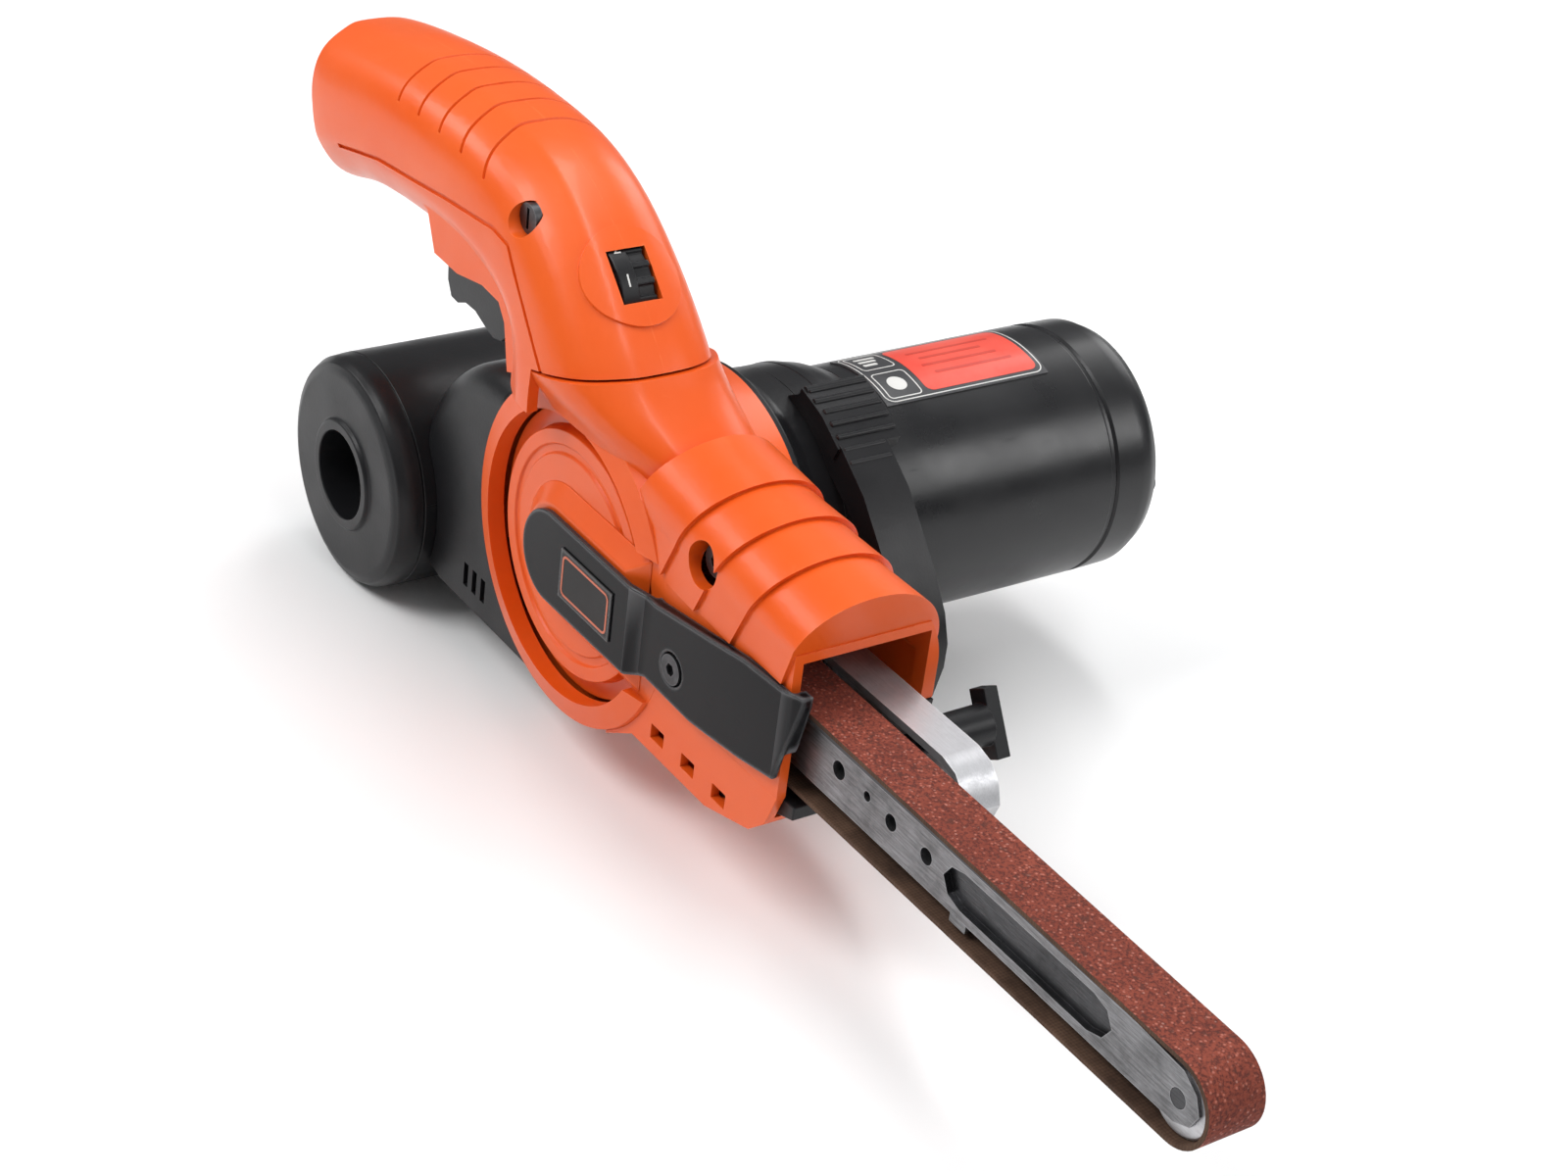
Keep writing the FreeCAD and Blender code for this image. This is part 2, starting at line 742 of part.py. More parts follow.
def arch(forward, top, grow=0.0, lean=0.0, low=-11.0):
    """The snout's cross-section at one station: straight sides under a low arched top.

    A leaning section tips forward above the height of its shoulders and back below it.
    """
    left = size("snout_left") - grow
    right = size("snout_right") + grow
    heights = {"left": 23.6 + grow, "right": 13.0}
    points = [
        (left, low), (left, heights["left"]), (left + 5.5, top - 2.9 + grow),
        ((left + right) / 2 - 2, top + grow),
        (right - 9.5, top - 3.6 + grow), (right - 3.6, top - 9.6 + grow), (right, heights["right"]),
        (right, low),
    ]
    corners = [Vector(forward + lean * (up - 24), side, up) for side, up in points]
    dome = Part.BSplineCurve()
    dome.interpolate(corners[1:7])
    edges = [
        Part.LineSegment(corners[0], corners[1]).toShape(),
        dome.toShape(),
        Part.LineSegment(corners[6], corners[7]).toShape(),
        Part.LineSegment(corners[7], corners[0]).toShape(),
    ]
    return Part.Wire(edges)


def make_snout_cover():
    """The ribbed orange cover over the belt's exit: bands that each lap over the next one."""
    front = size("snout_front")
    wall = size("snout_wall")
    stations = (22, 39.4, 53, 66.6, front)
    crowns = (41.6, 38.4, 36.8, 35.2, 33.8)
    bands = []
    for start, end, rise, fall in zip(stations, stations[1:], crowns, crowns[1:]):
        sections = [arch(start, rise, lean=0.45), arch(end, fall, grow=0.9,
                                                       lean=0.45 if end < front else 0.3)]
        bands.append(shape("band", Part.makeLoft(sections, True, True)))
    ribbed = common(fused(*bands), box((0, 120), (-20, 40), (14, 60)))
    lower = common(
        shape("lower", Part.makeLoft([arch(22, 40), arch(front, 33)], True, True)),
        box((22, front), (-20, 40), ("cover_low", 23)),
    )
    hollow = Part.makeLoft(
        [arch(10, 40 - wall, grow=-wall, low=-30), arch(front - 4, 32.6 - wall, grow=-wall, low=-30)], True,
        True,
    )
    mouth = box((60, 95), ("snout_left + snout_wall", "mouth_right"), (-30, "mouth_top"))
    right_foot = box((10, 95), (20, 40), (-30, "right_cover_top"))
    screw_pocket = rod("Y", "snout_pocket_radius", -12, 4, at=("snout_screw_forward", "snout_screw_up"))
    strip_room = prism(
        "Y", -20, -10.4,
        polygon((30, -11), (54, -9.7), (71, -8.1), (82.8, -6.3), (87.8, 15.7), (69, 15.1), (52, 12.5),
                (38, 10.3), (30, 10.8)),
    )
    strip_thread = rod("Y", "screw_radius", -16, 2, at=("strip_screw_forward", "strip_screw_up"))
    collar_room = box((10, 60), (26.6, 40), (-40, 60))
    keep(
        cut(
            fused(ribbed, lower), shape("hollow", hollow), mouth, right_foot, screw_pocket, strip_room,
            strip_thread,
            collar_room, drum_envelope(), socket_block(0),
        ),
        "snout_cover",
    )


def make_lower_guard():
    """The orange guard under the belt's exit: left wall and floor."""
    outline = [(20, -34), (30, -28), (59, -28), (75, -23.5), (80, -19), (83, -11), (20, -11)]
    outer = prism("Y", "snout_left", 23.4, polygon(*outline))
    inner = prism(
        "Y", "snout_left + snout_wall", 24,
        polygon((18, -31.8), (30.4, -25.8), (58.7, -25.8), (74, -21.5), (78.4, -17.6), (84, -17.6), (84, -8),
                (18, -8)),
    )
    slots = [box((start, start + 5), (-12, -7), (-24.5, -21)) for start in (37, 49, 61)]
    keep(cut(outer, inner, drum_envelope(), *slots), "lower_guard")


def make_dust_scoop():
    """The black wedge under the lower belt run that turns the dust back into the housing."""
    body = new_body("dust_scoop")
    pad(body, "Y", -8, 12, polygon((60, -25.2), (74, -21.3), (78.3, -17.4), (86, -15), (86, -11.8),
                                   (76, -11.8), (60, -19)))
    keep(body, "dust_scoop")


def make_right_side_cover():
    """The black cover on the right of the belt's exit, with a slot for the release link."""
    plate = prism(
        "Y", 23.6, "snout_right",
        polygon((20, -32), (30, -28), (59, -28), (76, -22), (82, -10), (83.5, 3.8), (20, 3.8)),
    )
    slot = box((30, 51), (23, 27), (-3.4, 3.4))
    keep(cut(plate, slot, drum_envelope()), "right_side_cover")


# ------------------------------------------------------------------------------------- belt and arm


def belt_outline(pulley, nose):
    """The closed line round two circles: pulley at the origin, nose roller forward of it."""
    reach = size("nose_forward")
    lean = math.asin((pulley - nose) / reach)
    rise = Vector(math.sin(lean), 0, math.cos(lean))
    drop = Vector(rise.x, 0, -rise.z)
    centre = Vector(reach, 0, 0)
    edges = [
        Part.LineSegment(rise * pulley, centre + rise * nose).toShape(),
        Part.Arc(centre + rise * nose, centre + Vector(nose, 0, 0), centre + drop * nose).toShape(),
        Part.LineSegment(centre + drop * nose, drop * pulley).toShape(),
        Part.Arc(drop * pulley, Vector(-pulley, 0, 0), rise * pulley).toShape(),
    ]
    return Part.Wire(edges)


def make_sanding_belt():
    """An endless cloth belt round the drive pulley and the nose roller."""
    gap = size("running_gap")
    pulley = size("pulley_radius") + gap
    nose = size("nose_radius") + gap
    thick = size("belt_thickness")
    width = Vector(0, size("belt_width"), 0)
    outer = Part.Face(belt_outline(pulley + thick, nose + thick)).extrude(width)
    inner = Part.Face(belt_outline(pulley, nose)).extrude(width)
    keep(shape("sanding_belt", outer.cut(inner)), "sanding_belt", at=("0", "-belt_width / 2", "0"))


def make_arm_plate():
    """The steel arm inside the belt: fork round the carriage tongue, pressed recess, nose cheeks."""
    side = "arm_half_width"
    body = new_body("arm_plate")
    pad(body, "Y", f"-{side}", side,
        polygon(("arm_start", "arm_bottom"), ("nose_forward", "arm_bottom"), ("nose_forward + 4", -3.5),
                ("nose_forward + 5.6", 0), ("nose_forward + 4", 3.5), ("nose_forward", "arm_top - 0.8"),
                ("arm_end", "arm_top"), ("arm_start", "arm_top")))
    pocket(body, "Y", f"-{side}", f"-{side} + 1.6",
           polygon((130, 1.2), (132, -2), (136, -3.2), (174, -3.2), (178, -2), (180, 1.2), (178, 4.2),
                   (174, 5.2),
                   (136, 5.2), (132, 4.2)))
    pocket(body, "Y", f"{side} - 1.6", side, rectangle((64, -3.4), (180, 5)))
    for forward, up, radius in ((95.1, 2.6, 2.0), (104.7, 2.6, 1.1), (112.8, 1.7, 1.8), (124.4, 1.5, 1.8)):
        pocket(body, "Y", f"-{side}", side, circle(forward, up, radius))
    pocket(body, "Z", "arm_bottom - 1", "arm_top + 1",
           rectangle(("nose_forward - nose_radius - 0.8", "-nose_width / 2 - 0.1"),
                     ("nose_forward + 12", "nose_width / 2 + 0.1")))
    pocket(body, "Y", f"-{side}", side, circle("nose_forward", 0, "nose_axle_radius"))
    pocket(body, "Y", f"-{side}", side, rectangle(("arm_start - 1", -2.55), (50, 2.55)))
    pocket(body, "Z", "arm_bottom", "arm_top", circle("arm_pivot_forward", 0, "rod_radius + running_gap"))
    keep(body, "arm_plate")


def make_platen():
    """The graphite-faced strip on top of the arm that the upper belt run slides on."""
    body = new_body("platen")
    pad(body, "Z", "arm_top", 7.9, rectangle((52, "-arm_half_width"), ("arm_end - 2", "arm_half_width")))
    keep(body, "platen")


def make_nose_axle():
    body = turned(
        "nose_axle",
        [(0, "-arm_half_width"), ("nose_axle_radius", "-arm_half_width"),
         ("nose_axle_radius", "arm_half_width"),
         (0, "arm_half_width")],
    )
    keep(body, "nose_axle", at=("nose_forward", "0", "0"))


def make_arm_hook():
    """The small tab riveted under the arm that keeps the lower run off it."""
    body = new_body("arm_hook")
    pad(body, "Y", "-arm_half_width", "-arm_half_width + 1.5",
        polygon((133.5, -7.2), (138.5, -7.2), (138.5, "arm_bottom"), (133.5, "arm_bottom")))
    keep(body, "arm_hook")


def make_arm_pivot_pin():
    body = new_body("arm_pivot_pin")
    pad(body, "Z", "arm_bottom", "arm_top", circle("arm_pivot_forward", 0, "rod_radius"))
    keep(body, "arm_pivot_pin")


def make_arm_carriage():
    """The sliding block beside the belt; its tongue reaches between the runs to the arm's pivot."""
    body = new_body("arm_carriage")
    pad(body, "X", "carriage_start", "bracket_start", rectangle((8.5, -7), (19.5, 7)))
    pad(body, "X", "arm_start + 0.6", 43, rectangle((-5, -2.5), (8.5, 2.5)))
    pocket(body, "X", "carriage_start", "bracket_start", circle("rod_side", 0, "rod_radius + running_gap"))
    pocket(body, "Z", -2.5, 2.5, circle("arm_pivot_forward", 0, "rod_radius"))
    keep(body, "arm_carriage")


def make_guide_bracket():
    """The bright bracket beside the belt: a folded strap with a round end, open below and inside."""
    sheet = "bracket_sheet"
    body = new_body("guide_bracket")
    pad(body, "Y", "bracket_inner", "bracket_outer",
        polygon(("bracket_start", -7), ("bracket_end", -7), (112.5, -5.8), (115.6, -2.6), (117, 1.5),
                (115.6, 5.6),
                (112.5, 8.8), ("bracket_end", "bracket_top"), ("bracket_start", "bracket_top")))
    pocket(body, "Y", "bracket_inner", f"bracket_outer - {sheet}",
           polygon((f"bracket_start + {sheet}", -9), (f"bracket_end", -9), (f"bracket_end", -5.2),
                   (111.6, -4.2),
                   (114.1, -1.8), (115.2, 1.5), (114.1, 4.8), (111.6, 7.2),
                   ("bracket_end", f"bracket_top - {sheet}"),
                   (f"bracket_start + {sheet}", f"bracket_top - {sheet}")))
    pocket(body, "Y", f"bracket_outer - {sheet}", "bracket_outer", circle("knob_forward", "knob_up", 2.6))
    pocket(body, "X", "bracket_start", f"bracket_start + {sheet}", circle("rod_side", 0, "rod_radius + 0.3"))
    keep(body, "guide_bracket")


def make_tracking_knob():
    """The wing screw that steers the belt: screw, hub and wing."""
    screw = rod("Y", 2.5, 6.3, 20)
    hub = rod("Y", 4.5, 19.6, 30.6)
    wing = box((-7.4, 7.4), (30.6, 34), (-2.6, 2.6))
    keep(
        fused(screw, hub, wing), "tracking_knob", at=("knob_forward", "0", "knob_up"),
        turn=Rotation(DIRECTIONS["Y"], 58),
    )


def make_spring_rod():
    """The fixed steel rod that the carriage slides on."""
    body = new_body("spring_rod")
    pad(body, "X", "rod_start", "rod_end", circle("rod_side", 0, "rod_radius"))
    keep(body, "spring_rod")


def make_tension_spring():
    """The compression spring that pushes carriage and arm forward."""
    wire = size("spring_wire") / 2
    length = size("carriage_start") - size("rod_start") - 2 * wire
    radius = size("spring_radius") - wire
    path = Part.Wire(Part.makeHelix(length / size("spring_turns"), length, radius).Edges)
    section = Part.Wire(Part.Circle(Vector(radius, 0, 0), Vector(0, 1, 0), wire).toShape())
    coil = path.makePipeShell([section], True, True)
    keep(
        shape("tension_spring", coil), "tension_spring", at=("rod_start + spring_wire / 2", "rod_side", "0"),
        turn=Rotation(DIRECTIONS["Y"], 90),
    )


def make_release_link():
    """The steel bar between the carriage and the cam inside the tension lever."""
    body = new_body("release_link")
    pad(body, "Y", 19.5, 37.6, rectangle((43.6, -2.5), (49.6, 2.5)))
    keep(body, "release_link")


def make_tension_lever():
    """The belt-release lever: a ring in the collar's track, a curved fender and a ribbed thumb pad."""
    inner, outer = "lever_inner_side", "lever_outer_side"
    fender = prism(
        "Y", inner, outer,
        polygon((6, 33), (11.5, 36.2), (27.4, 30.6), (37, 24), (43.5, 17), (49.5, 10.5), (55.5, 2.4),
                (58, -4),
                (58, -10), (56, -18.6), (51, -18), (52, -9), (49, 0), (42, 8), (34, 17), (26, 22)),
    )
    clear = "collar_radius + 0.1"
    start, end = "track_start + running_gap", "track_end - running_gap"
    ring = rod("Y", "collar_radius - 0.1", start, end)
    bore = rod("Y", "track_radius + running_gap", 30, 60)
    relief = [rod("Y", clear, "lever_inner_side - 2", start), rod("Y", clear, end, "lever_outer_side + 9")]
    thumb = prism("Y", 37.4, 54, polygon((10, 34), (11.4, 37.6), (20, 34.8), (27, 30.4), (25.6, 27.2),
                                         (18, 31.4)))
    ribs = []
    for number in range(5):
        angle = math.radians(72 - 5.4 * number)
        middle = (39.1 * math.cos(angle), 39.1 * math.sin(angle))
        ribs.append(rod("Y", 0.9, 38, 53.4, at=(round(middle[0], 3), round(middle[1], 3))))
    keep(cut(fused(fender, ring, thumb, *ribs), bore, *relief), "tension_lever")


# ------------------------------------------------------------------------------- handle and controls

# The drum's socket under the handle, from the seam down: (rear, front, left, right, up).
SOCKET_RINGS = [
    (-32, 12.6, -19.9, 20.1, 52),
    (-32, 17.9, -20.2, 20.4, 46),
    (-33, 24, -18.5, 21.2, 41),
    (-34.5, 30.5, -15.2, 22.5, 36),
    (-37, 36, -11.5, 24, 28),
]


def below_seam(gap):
    """The wedge under the sloping seam between handle and drum, lowered by a gap."""
    return prism("Y", -40, 40, polygon((-8, 20), (60, 20), (60, f"seam_up + 16.2 - {gap}"),
                                       (-8, f"seam_up - 2.2 - {gap}")))


def under_overhang():
    """The space ahead of the drum's left rim that handle and socket must leave open."""
    return box((-60, 60), (-40, -11.4), (0, 33))


def socket_ring(rear, front, left, right, up, inset):
    """One level cross-section of the socket, in by the inset all round."""
    centre = Vector((rear + front) / 2, (left + right) / 2, up)
    reach = Vector((front - rear) / 2 - inset, 0, 0)
    side = Vector(0, (right - left) / 2 - inset, 0)
    return rounded_ring(centre, reach, side)


def handle_end():
    """Middle of the handle's end face and the direction that the cord leaves it."""
    front, rear, _ = HANDLE_STATIONS[-1]
    middle = Vector((front[0] + rear[0]) / 2, 0, (front[1] + rear[1]) / 2)
    across = Vector(front[0] - rear[0], 0, front[1] - rear[1]).normalize()
    return middle, Vector(-across.z, 0, across.x)


def band(points, width):
    """The corners of a band of constant width along a line of points."""
    left, right = [], []
    for index, point in enumerate(points):
        before = points[max(index - 1, 0)]
        after = points[min(index + 1, len(points) - 1)]
        run = math.hypot(after[0] - before[0], after[1] - before[1])
        shift = (-(after[1] - before[1]) / run * width / 2, (after[0] - before[0]) / run * width / 2)
        left.append((round(point[0] + shift[0], 3), round(point[1] + shift[1], 3)))
        right.append((round(point[0] - shift[0], 3), round(point[1] - shift[1], 3)))
    return left + right[::-1]


def handle_grooves():
    """The shallow lines in the handle: one along each side and five across the grip's top."""
    side_line = [(-101, 56), (-81, 61), (-50, 64.6), (-30, 66.2), (-23.5, 65), (-19, 60), (-4, 44)]
    lines = [prism("Y", -30, 30, polygon(*band(side_line, 1.1)))]
    for forward in (-79.5, -70, -60.5, -51, -41.5):
        across = [(forward - 5, 100), (forward, 84), (forward + 4.5, 74)]
        lines.append(prism("Y", -17, 17, polygon(*band(across, 0.9))))
    skin = cut(
        shape("groove_outer", handle_solid(HANDLE_STATIONS, -2)),
        shape("groove_floor", handle_solid(HANDLE_STATIONS, 0.6)),
    )
    return common(skin, fused(*lines))


def make_handle():
    outer = shape("handle_outer", handle_solid(HANDLE_STATIONS, 0))
    hollow = shape("handle_hollow", handle_solid(HANDLE_STATIONS[:-1], size("handle_wall")))
    cheek_outline = polygon(
        (-62, 60), (-56.5, 48.3), (-46, 48), (-35, 50.2), (-27.5, 49.6), (-24.5, 46), (-22, 35.5), (-10, 40),
        (-12, 62),
    )
    cheeks = prism("Y", -16.8, 16.8, cheek_outline)
    trigger_slot = box((-67.5, -29), (-10, 10), (22, 56.4))
    wheel_window = prism("Y", -4.8, 4.8, polygon((6.7, 64.4), (-1.5, 73.2), (-11.7, 63.6), (-3.5, 54.8)))
    wheel_room = rod("Y", "wheel_radius + 0.4", -4.8, 4.8, at=("wheel_forward", "wheel_up"))
    middle, outward = handle_end()
    gland_hole = shape("gland_hole", Part.makeCylinder(6, 16, middle - outward * 12, outward))
    place = ("handle_screw_forward", "handle_screw_up")
    post = common(outer, rod("Y", 4.6, -18, 12, at=place))
    seat = rod("Y", "screw_head_radius + 0.3", -22, -12.6, at=place)
    thread = rod("Y", "screw_radius", -14, 8, at=place)
    window_middle = Vector(-2.5, 0, 64)
    window_out = Vector(0.69, 0, 0.72)
    bezel = common(
        shape("bezel_skin", handle_solid(HANDLE_STATIONS, -0.7)),
        shape("bezel_disc", Part.makeCylinder(11.5, 14, window_middle - window_out * 6, window_out)),
    )
    hollowed = fused(cut(fused(outer, cheeks, bezel), hollow), post)
    shell = cut(
        hollowed, trigger_slot, wheel_window, wheel_room, gland_hole, below_seam(0), under_overhang(), seat,
        thread,
        handle_grooves(), drum_envelope(),
    )
    left = box((-140, 60), (-40, 0), (0, 120))
    right = box((-140, 60), (0, 40), (0, 120))
    keep(common(shell, left), "handle_left_shell")
    keep(common(shell, right), "handle_right_shell")


def make_handle_screw():
    """The screw that holds the two handle shells together, deep in its seat in the left one."""
    place = ("handle_screw_forward", "handle_screw_up")
    head = rod("Y", "screw_head_radius", -14.4, -12.6, at=place)
    shank = rod("Y", "screw_radius", -12.6, 8, at=place)
    slot = box(("handle_screw_forward - 0.5", "handle_screw_forward + 0.5"), (-14.5, -13.5),
               ("handle_screw_up - 2.4", "handle_screw_up + 2.4"))
    keep(cut(fused(head, shank), slot), "handle_screw")


def make_cord_gland():
    """The rubber bush in the handle's end that the cord goes in through."""
    middle, outward = handle_end()
    body = turned(
        "cord_gland",
        [("gland_bore", -7), (5.9, -7), (5.9, 0.1), (8.2, 0.1), (8.2, 1.6), (7.2, 2.6), ("gland_bore", 2.6)],
    )
    keep(
        body, "cord_gland", at=(f"({middle.x})", "0", f"({middle.z})"),
        turn=Rotation(DIRECTIONS["Y"], outward),
    )


def make_trigger():
    half = "trigger_half_width"
    body = new_body("trigger")
    pad(body, "Y", f"-{half}", half,
        polygon((-61.5, 51.2), (-63, 44), (-62.6, 38), (-60.6, 34.6), (-57.5, 34.4), (-54, 36), (-49.6, 36),
                (-45, 34.4), (-41, 33.4), (-37.5, 34.2), (-34.6, 37), (-31.8, 43), (-31.2, 50.4)))
    pocket(body, "Y", f"-{half}", half, circle("trigger_pin_forward", "trigger_pin_up", "1.5 + running_gap"))
    keep(body, "trigger")


def make_trigger_pin():
    body = new_body("trigger_pin")
    pad(body, "Y", -10, 10, circle("trigger_pin_forward", "trigger_pin_up", 1.5))
    keep(body, "trigger_pin")


def make_switch():
    """The switch block above the trigger and its plunger."""
    block = box((-60, -38), (-8, 8), (58, 72))
    plunger = box((-57, -52), (-3, 3), (54.9, 58))
    keep(fused(block, plunger), "switch_block")


def make_speed_wheel():
    half = "wheel_half_width"
    body = turned(
        "speed_wheel",
        [(1.55, f"-{half}"), ("wheel_radius - 0.8", f"-{half}"), ("wheel_radius - 0.8", half), (1.55, half)],
    )
    rib = pad(body, "Y", f"-{half}", half, rectangle(("wheel_radius - 1.4", -0.7), ("wheel_radius", 0.7)))
    polar(body, rib, 20)
    keep(body, "speed_wheel", at=("wheel_forward", "0", "wheel_up"))


def make_speed_control():
    """The control module beside the wheel, with the spindle that the wheel turns on."""
    block = box((-25, -7), (5, 10.4), (48, 58))
    spindle = rod("Y", 1.5, -5.5, 5, at=("wheel_forward", "wheel_up"))
    keep(fused(block, spindle), "speed_control")


# --------------------------------------------------------------------------------------- dust path


def duct_body(inset):
    """The duct's outside, or its hollow when inset: a rounded hood with its long edges rounded."""
    left, right = size("duct_left") + inset, size("duct_right") - inset
    top = [(-72 + inset, -8), (-67 + inset, 7 - inset), (-58, 17 - inset), (-46, 23.8 - inset),
           (-33, 26.5 - inset)]
    hood = Part.BSplineCurve()
    hood.interpolate([Vector(forward, left, up) for forward, up in top])
    low = -37.5 + inset
    corners = [
        Vector(top[-1][0], left, top[-1][1]), Vector(-6 + 4 * inset, left, 12),
        Vector(-6 + 4 * inset, left, low),
        Vector(-57, left, low),
        Vector(-72 + inset, left, -33), Vector(-72 + inset, left, -8),
    ]
    edges = [hood.toShape()]
    for start, end in zip(corners, corners[1:]):
        edges.append(Part.LineSegment(start, end).toShape())
    solid = Part.Face(Part.Wire(edges)).extrude(Vector(0, right - left, 0))
    rounded = []
    for edge in solid.Edges:
        if edge.BoundBox.YLength < 0.01 and edge.BoundBox.ZMax > 5 and edge.BoundBox.XLength > 20:
            rounded.append(edge)
    return solid.makeFillet(7.5 - inset, rounded)


def make_dust_duct():
    """The black duct from the drum's rear to the canister, ending in a spigot."""
    centre = ("canister_forward", "canister_up")
    canister_room = rod("Y", "canister_radius + 0.3", -40, 80, at=centre)
    saddle = rod("Y", "canister_radius + 2.7", -40, 80, at=centre)
    hollow = cut(shape("duct_hollow", duct_body(size("duct_wall"))), saddle)
    spigot = rod("X", "spigot_radius", -68, -58, at=("spigot_side", "canister_up"))
    bore = rod("X", "spigot_radius - 1.6", -70, -50, at=("spigot_side", "canister_up"))
    slots = [box((-46 + 4 * step, -44 + 4 * step), (-12, -7), (-33, -27)) for step in range(3)]
    hood = cut(shape("duct_outer", duct_body(0)), hollow, canister_room, drum_envelope(), *slots)
    keep(cut(fused(hood, spigot), bore), "dust_duct")


def make_canister():
    place = ("canister_forward", "0", "canister_up")
    wall = "canister_wall"
    face, far, radius = "canister_face", "canister_end", "canister_radius"
    body = turned(
        "canister_body",
        [(f"{radius} - {wall}", f"{face} + 7"), (radius, f"{face} + 7"), (radius, f"{far} - 3"),
         (f"{radius} - 3", far),
         (0, far), (0, f"{far} - {wall}"), (f"{radius} - 3.6", f"{far} - {wall}"),
         (f"{radius} - {wall}", f"{far} - 3.8")],
    )
    pocket(body, "X", 20, 30, circle("spigot_side", 0, "spigot_radius + running_gap"))
    keep(body, "canister_body", at=place)

    cap = turned(
        "canister_cap",
        [("port_radius", f"{face} - 1"), ("port_radius + 2.4", f"{face} - 1"), ("port_radius + 3", face),
         (f"{radius} - 4.4", face), (f"{radius} - 1.6", f"{face} + 1"), (f"{radius} - 0.3", f"{face} + 3.2"),
         (radius, f"{face} + 6.95"), (f"{radius} - {wall} - 0.2", f"{face} + 6.95"),
         (f"{radius} - {wall} - 0.2", f"{face} + 3.4"), ("port_radius + 2", f"{face} + 2.4"),
         ("port_radius + 2", f"{face} + 34"), ("port_radius", f"{face} + 34")],
    )
    keep(cap, "canister_cap", at=place)

    pleats = turned(
        "dust_filter",
        [("port_radius + 2.1", f"{face} + 31"), (19, f"{face} + 31"), (19, f"{far} - 6"), (4, f"{far} - 6"),
         (4, f"{face} + 34.4"), ("port_radius + 2.1", f"{face} + 34.4")],
    )
    keep(pleats, "dust_filter", at=place)


# ----------------------------------------------------------------------------------------- screws


def make_left_side_screws():
    """The screw through the side strip and the one down the snout's oval pocket."""
    for label, top, end in (("strip_screw", -13.6, -10.2), ("snout_screw", -7.6, 3.6)):
        forward, up = size(f"{label}_forward"), size(f"{label}_up")
        corners = []
        for turn in range(6):
            angle = math.radians(60 * turn)
            corners.append((round(forward + 1.5 * math.cos(angle), 3), round(up + 1.5 * math.sin(angle), 3)))
        head = rod("Y", "screw_head_radius", top, top + 1.4, at=(forward, up))
        socket = prism("Y", top - 0.1, top + 1.1, polygon(*corners))
        shank = rod("Y", "screw_radius - 0.1", top + 1.4, end, at=(forward, up))
        keep(cut(fused(head, shank), socket), label)


def make_end_cap_screws():
    """Two screws in the end cap's face."""
    heads = [rod("Y", 2.8, "motor_end", "motor_end + 1.2", at=(side * 23, 0)) for side in (1, -1)]
    keep(group(*heads), "end_cap_screws")


def check():
    """Stop if any object failed or any sub-part has no valid solid."""
    doc.recompute()
    for item in doc.Objects:
        if "Invalid" in item.State or "Error" in item.State:
            raise RuntimeError(f"{item.Name} ({item.Label}) failed: {item.State}")
    faulty = [item.Label for item in SUBPARTS if not (item.Shape.Solids and item.Shape.isValid())]
    if faulty:
        raise RuntimeError(f"no valid solid in {', '.join(faulty)}")


def write():
    os.makedirs("parts", exist_ok=True)
    whole = FreeCAD.BoundBox()
    for item in SUBPARTS:
        item.Shape.exportStep(f"parts/{item.Label}.step")
        whole.add(item.Shape.BoundBox)
    print(f"{len(SUBPARTS)} sub-parts")
    low = f"{whole.XMin:.2f} {whole.YMin:.2f} {whole.ZMin:.2f}"
    high = f"{whole.XMax:.2f} {whole.YMax:.2f} {whole.ZMax:.2f}"
    print(f"box {low} to {high}")


make_drive_pulley()
make_rotor_shaft()
make_rotor_core()
make_rotor_windings()
make_commutator()
make_cooling_fan()
make_nose_roller()
make_bearing("front_bearing", "front_bearing_side")
make_bearing("rear_bearing", "rear_bearing_side")
make_bearing_plate()
make_stator_core()
make_field_coils()
make_brush_gear()
make_rear_bearing_bracket()
make_motor_collar()
make_motor_barrel()
make_motor_end_cap()
make_rating_label()
make_drum_housing()
make_disc_cover()
make_side_boss()
make_side_strip()
make_badge_plate()
make_snout_cover()
make_lower_guard()
make_dust_scoop()
make_right_side_cover()
make_sanding_belt()
make_arm_plate()
make_platen()
make_nose_axle()
make_arm_hook()
make_arm_pivot_pin()
make_arm_carriage()
make_guide_bracket()
make_tracking_knob()
make_spring_rod()
make_tension_spring()
make_release_link()
make_tension_lever()
make_handle()
make_handle_screw()
make_cord_gland()
make_trigger()
make_trigger_pin()
make_switch()
make_speed_wheel()
make_speed_control()
make_dust_duct()
make_canister()
make_left_side_screws()
make_end_cap_screws()
check()
write()
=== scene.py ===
import json
import math

import bmesh
import bpy
from mathutils import Matrix, Vector


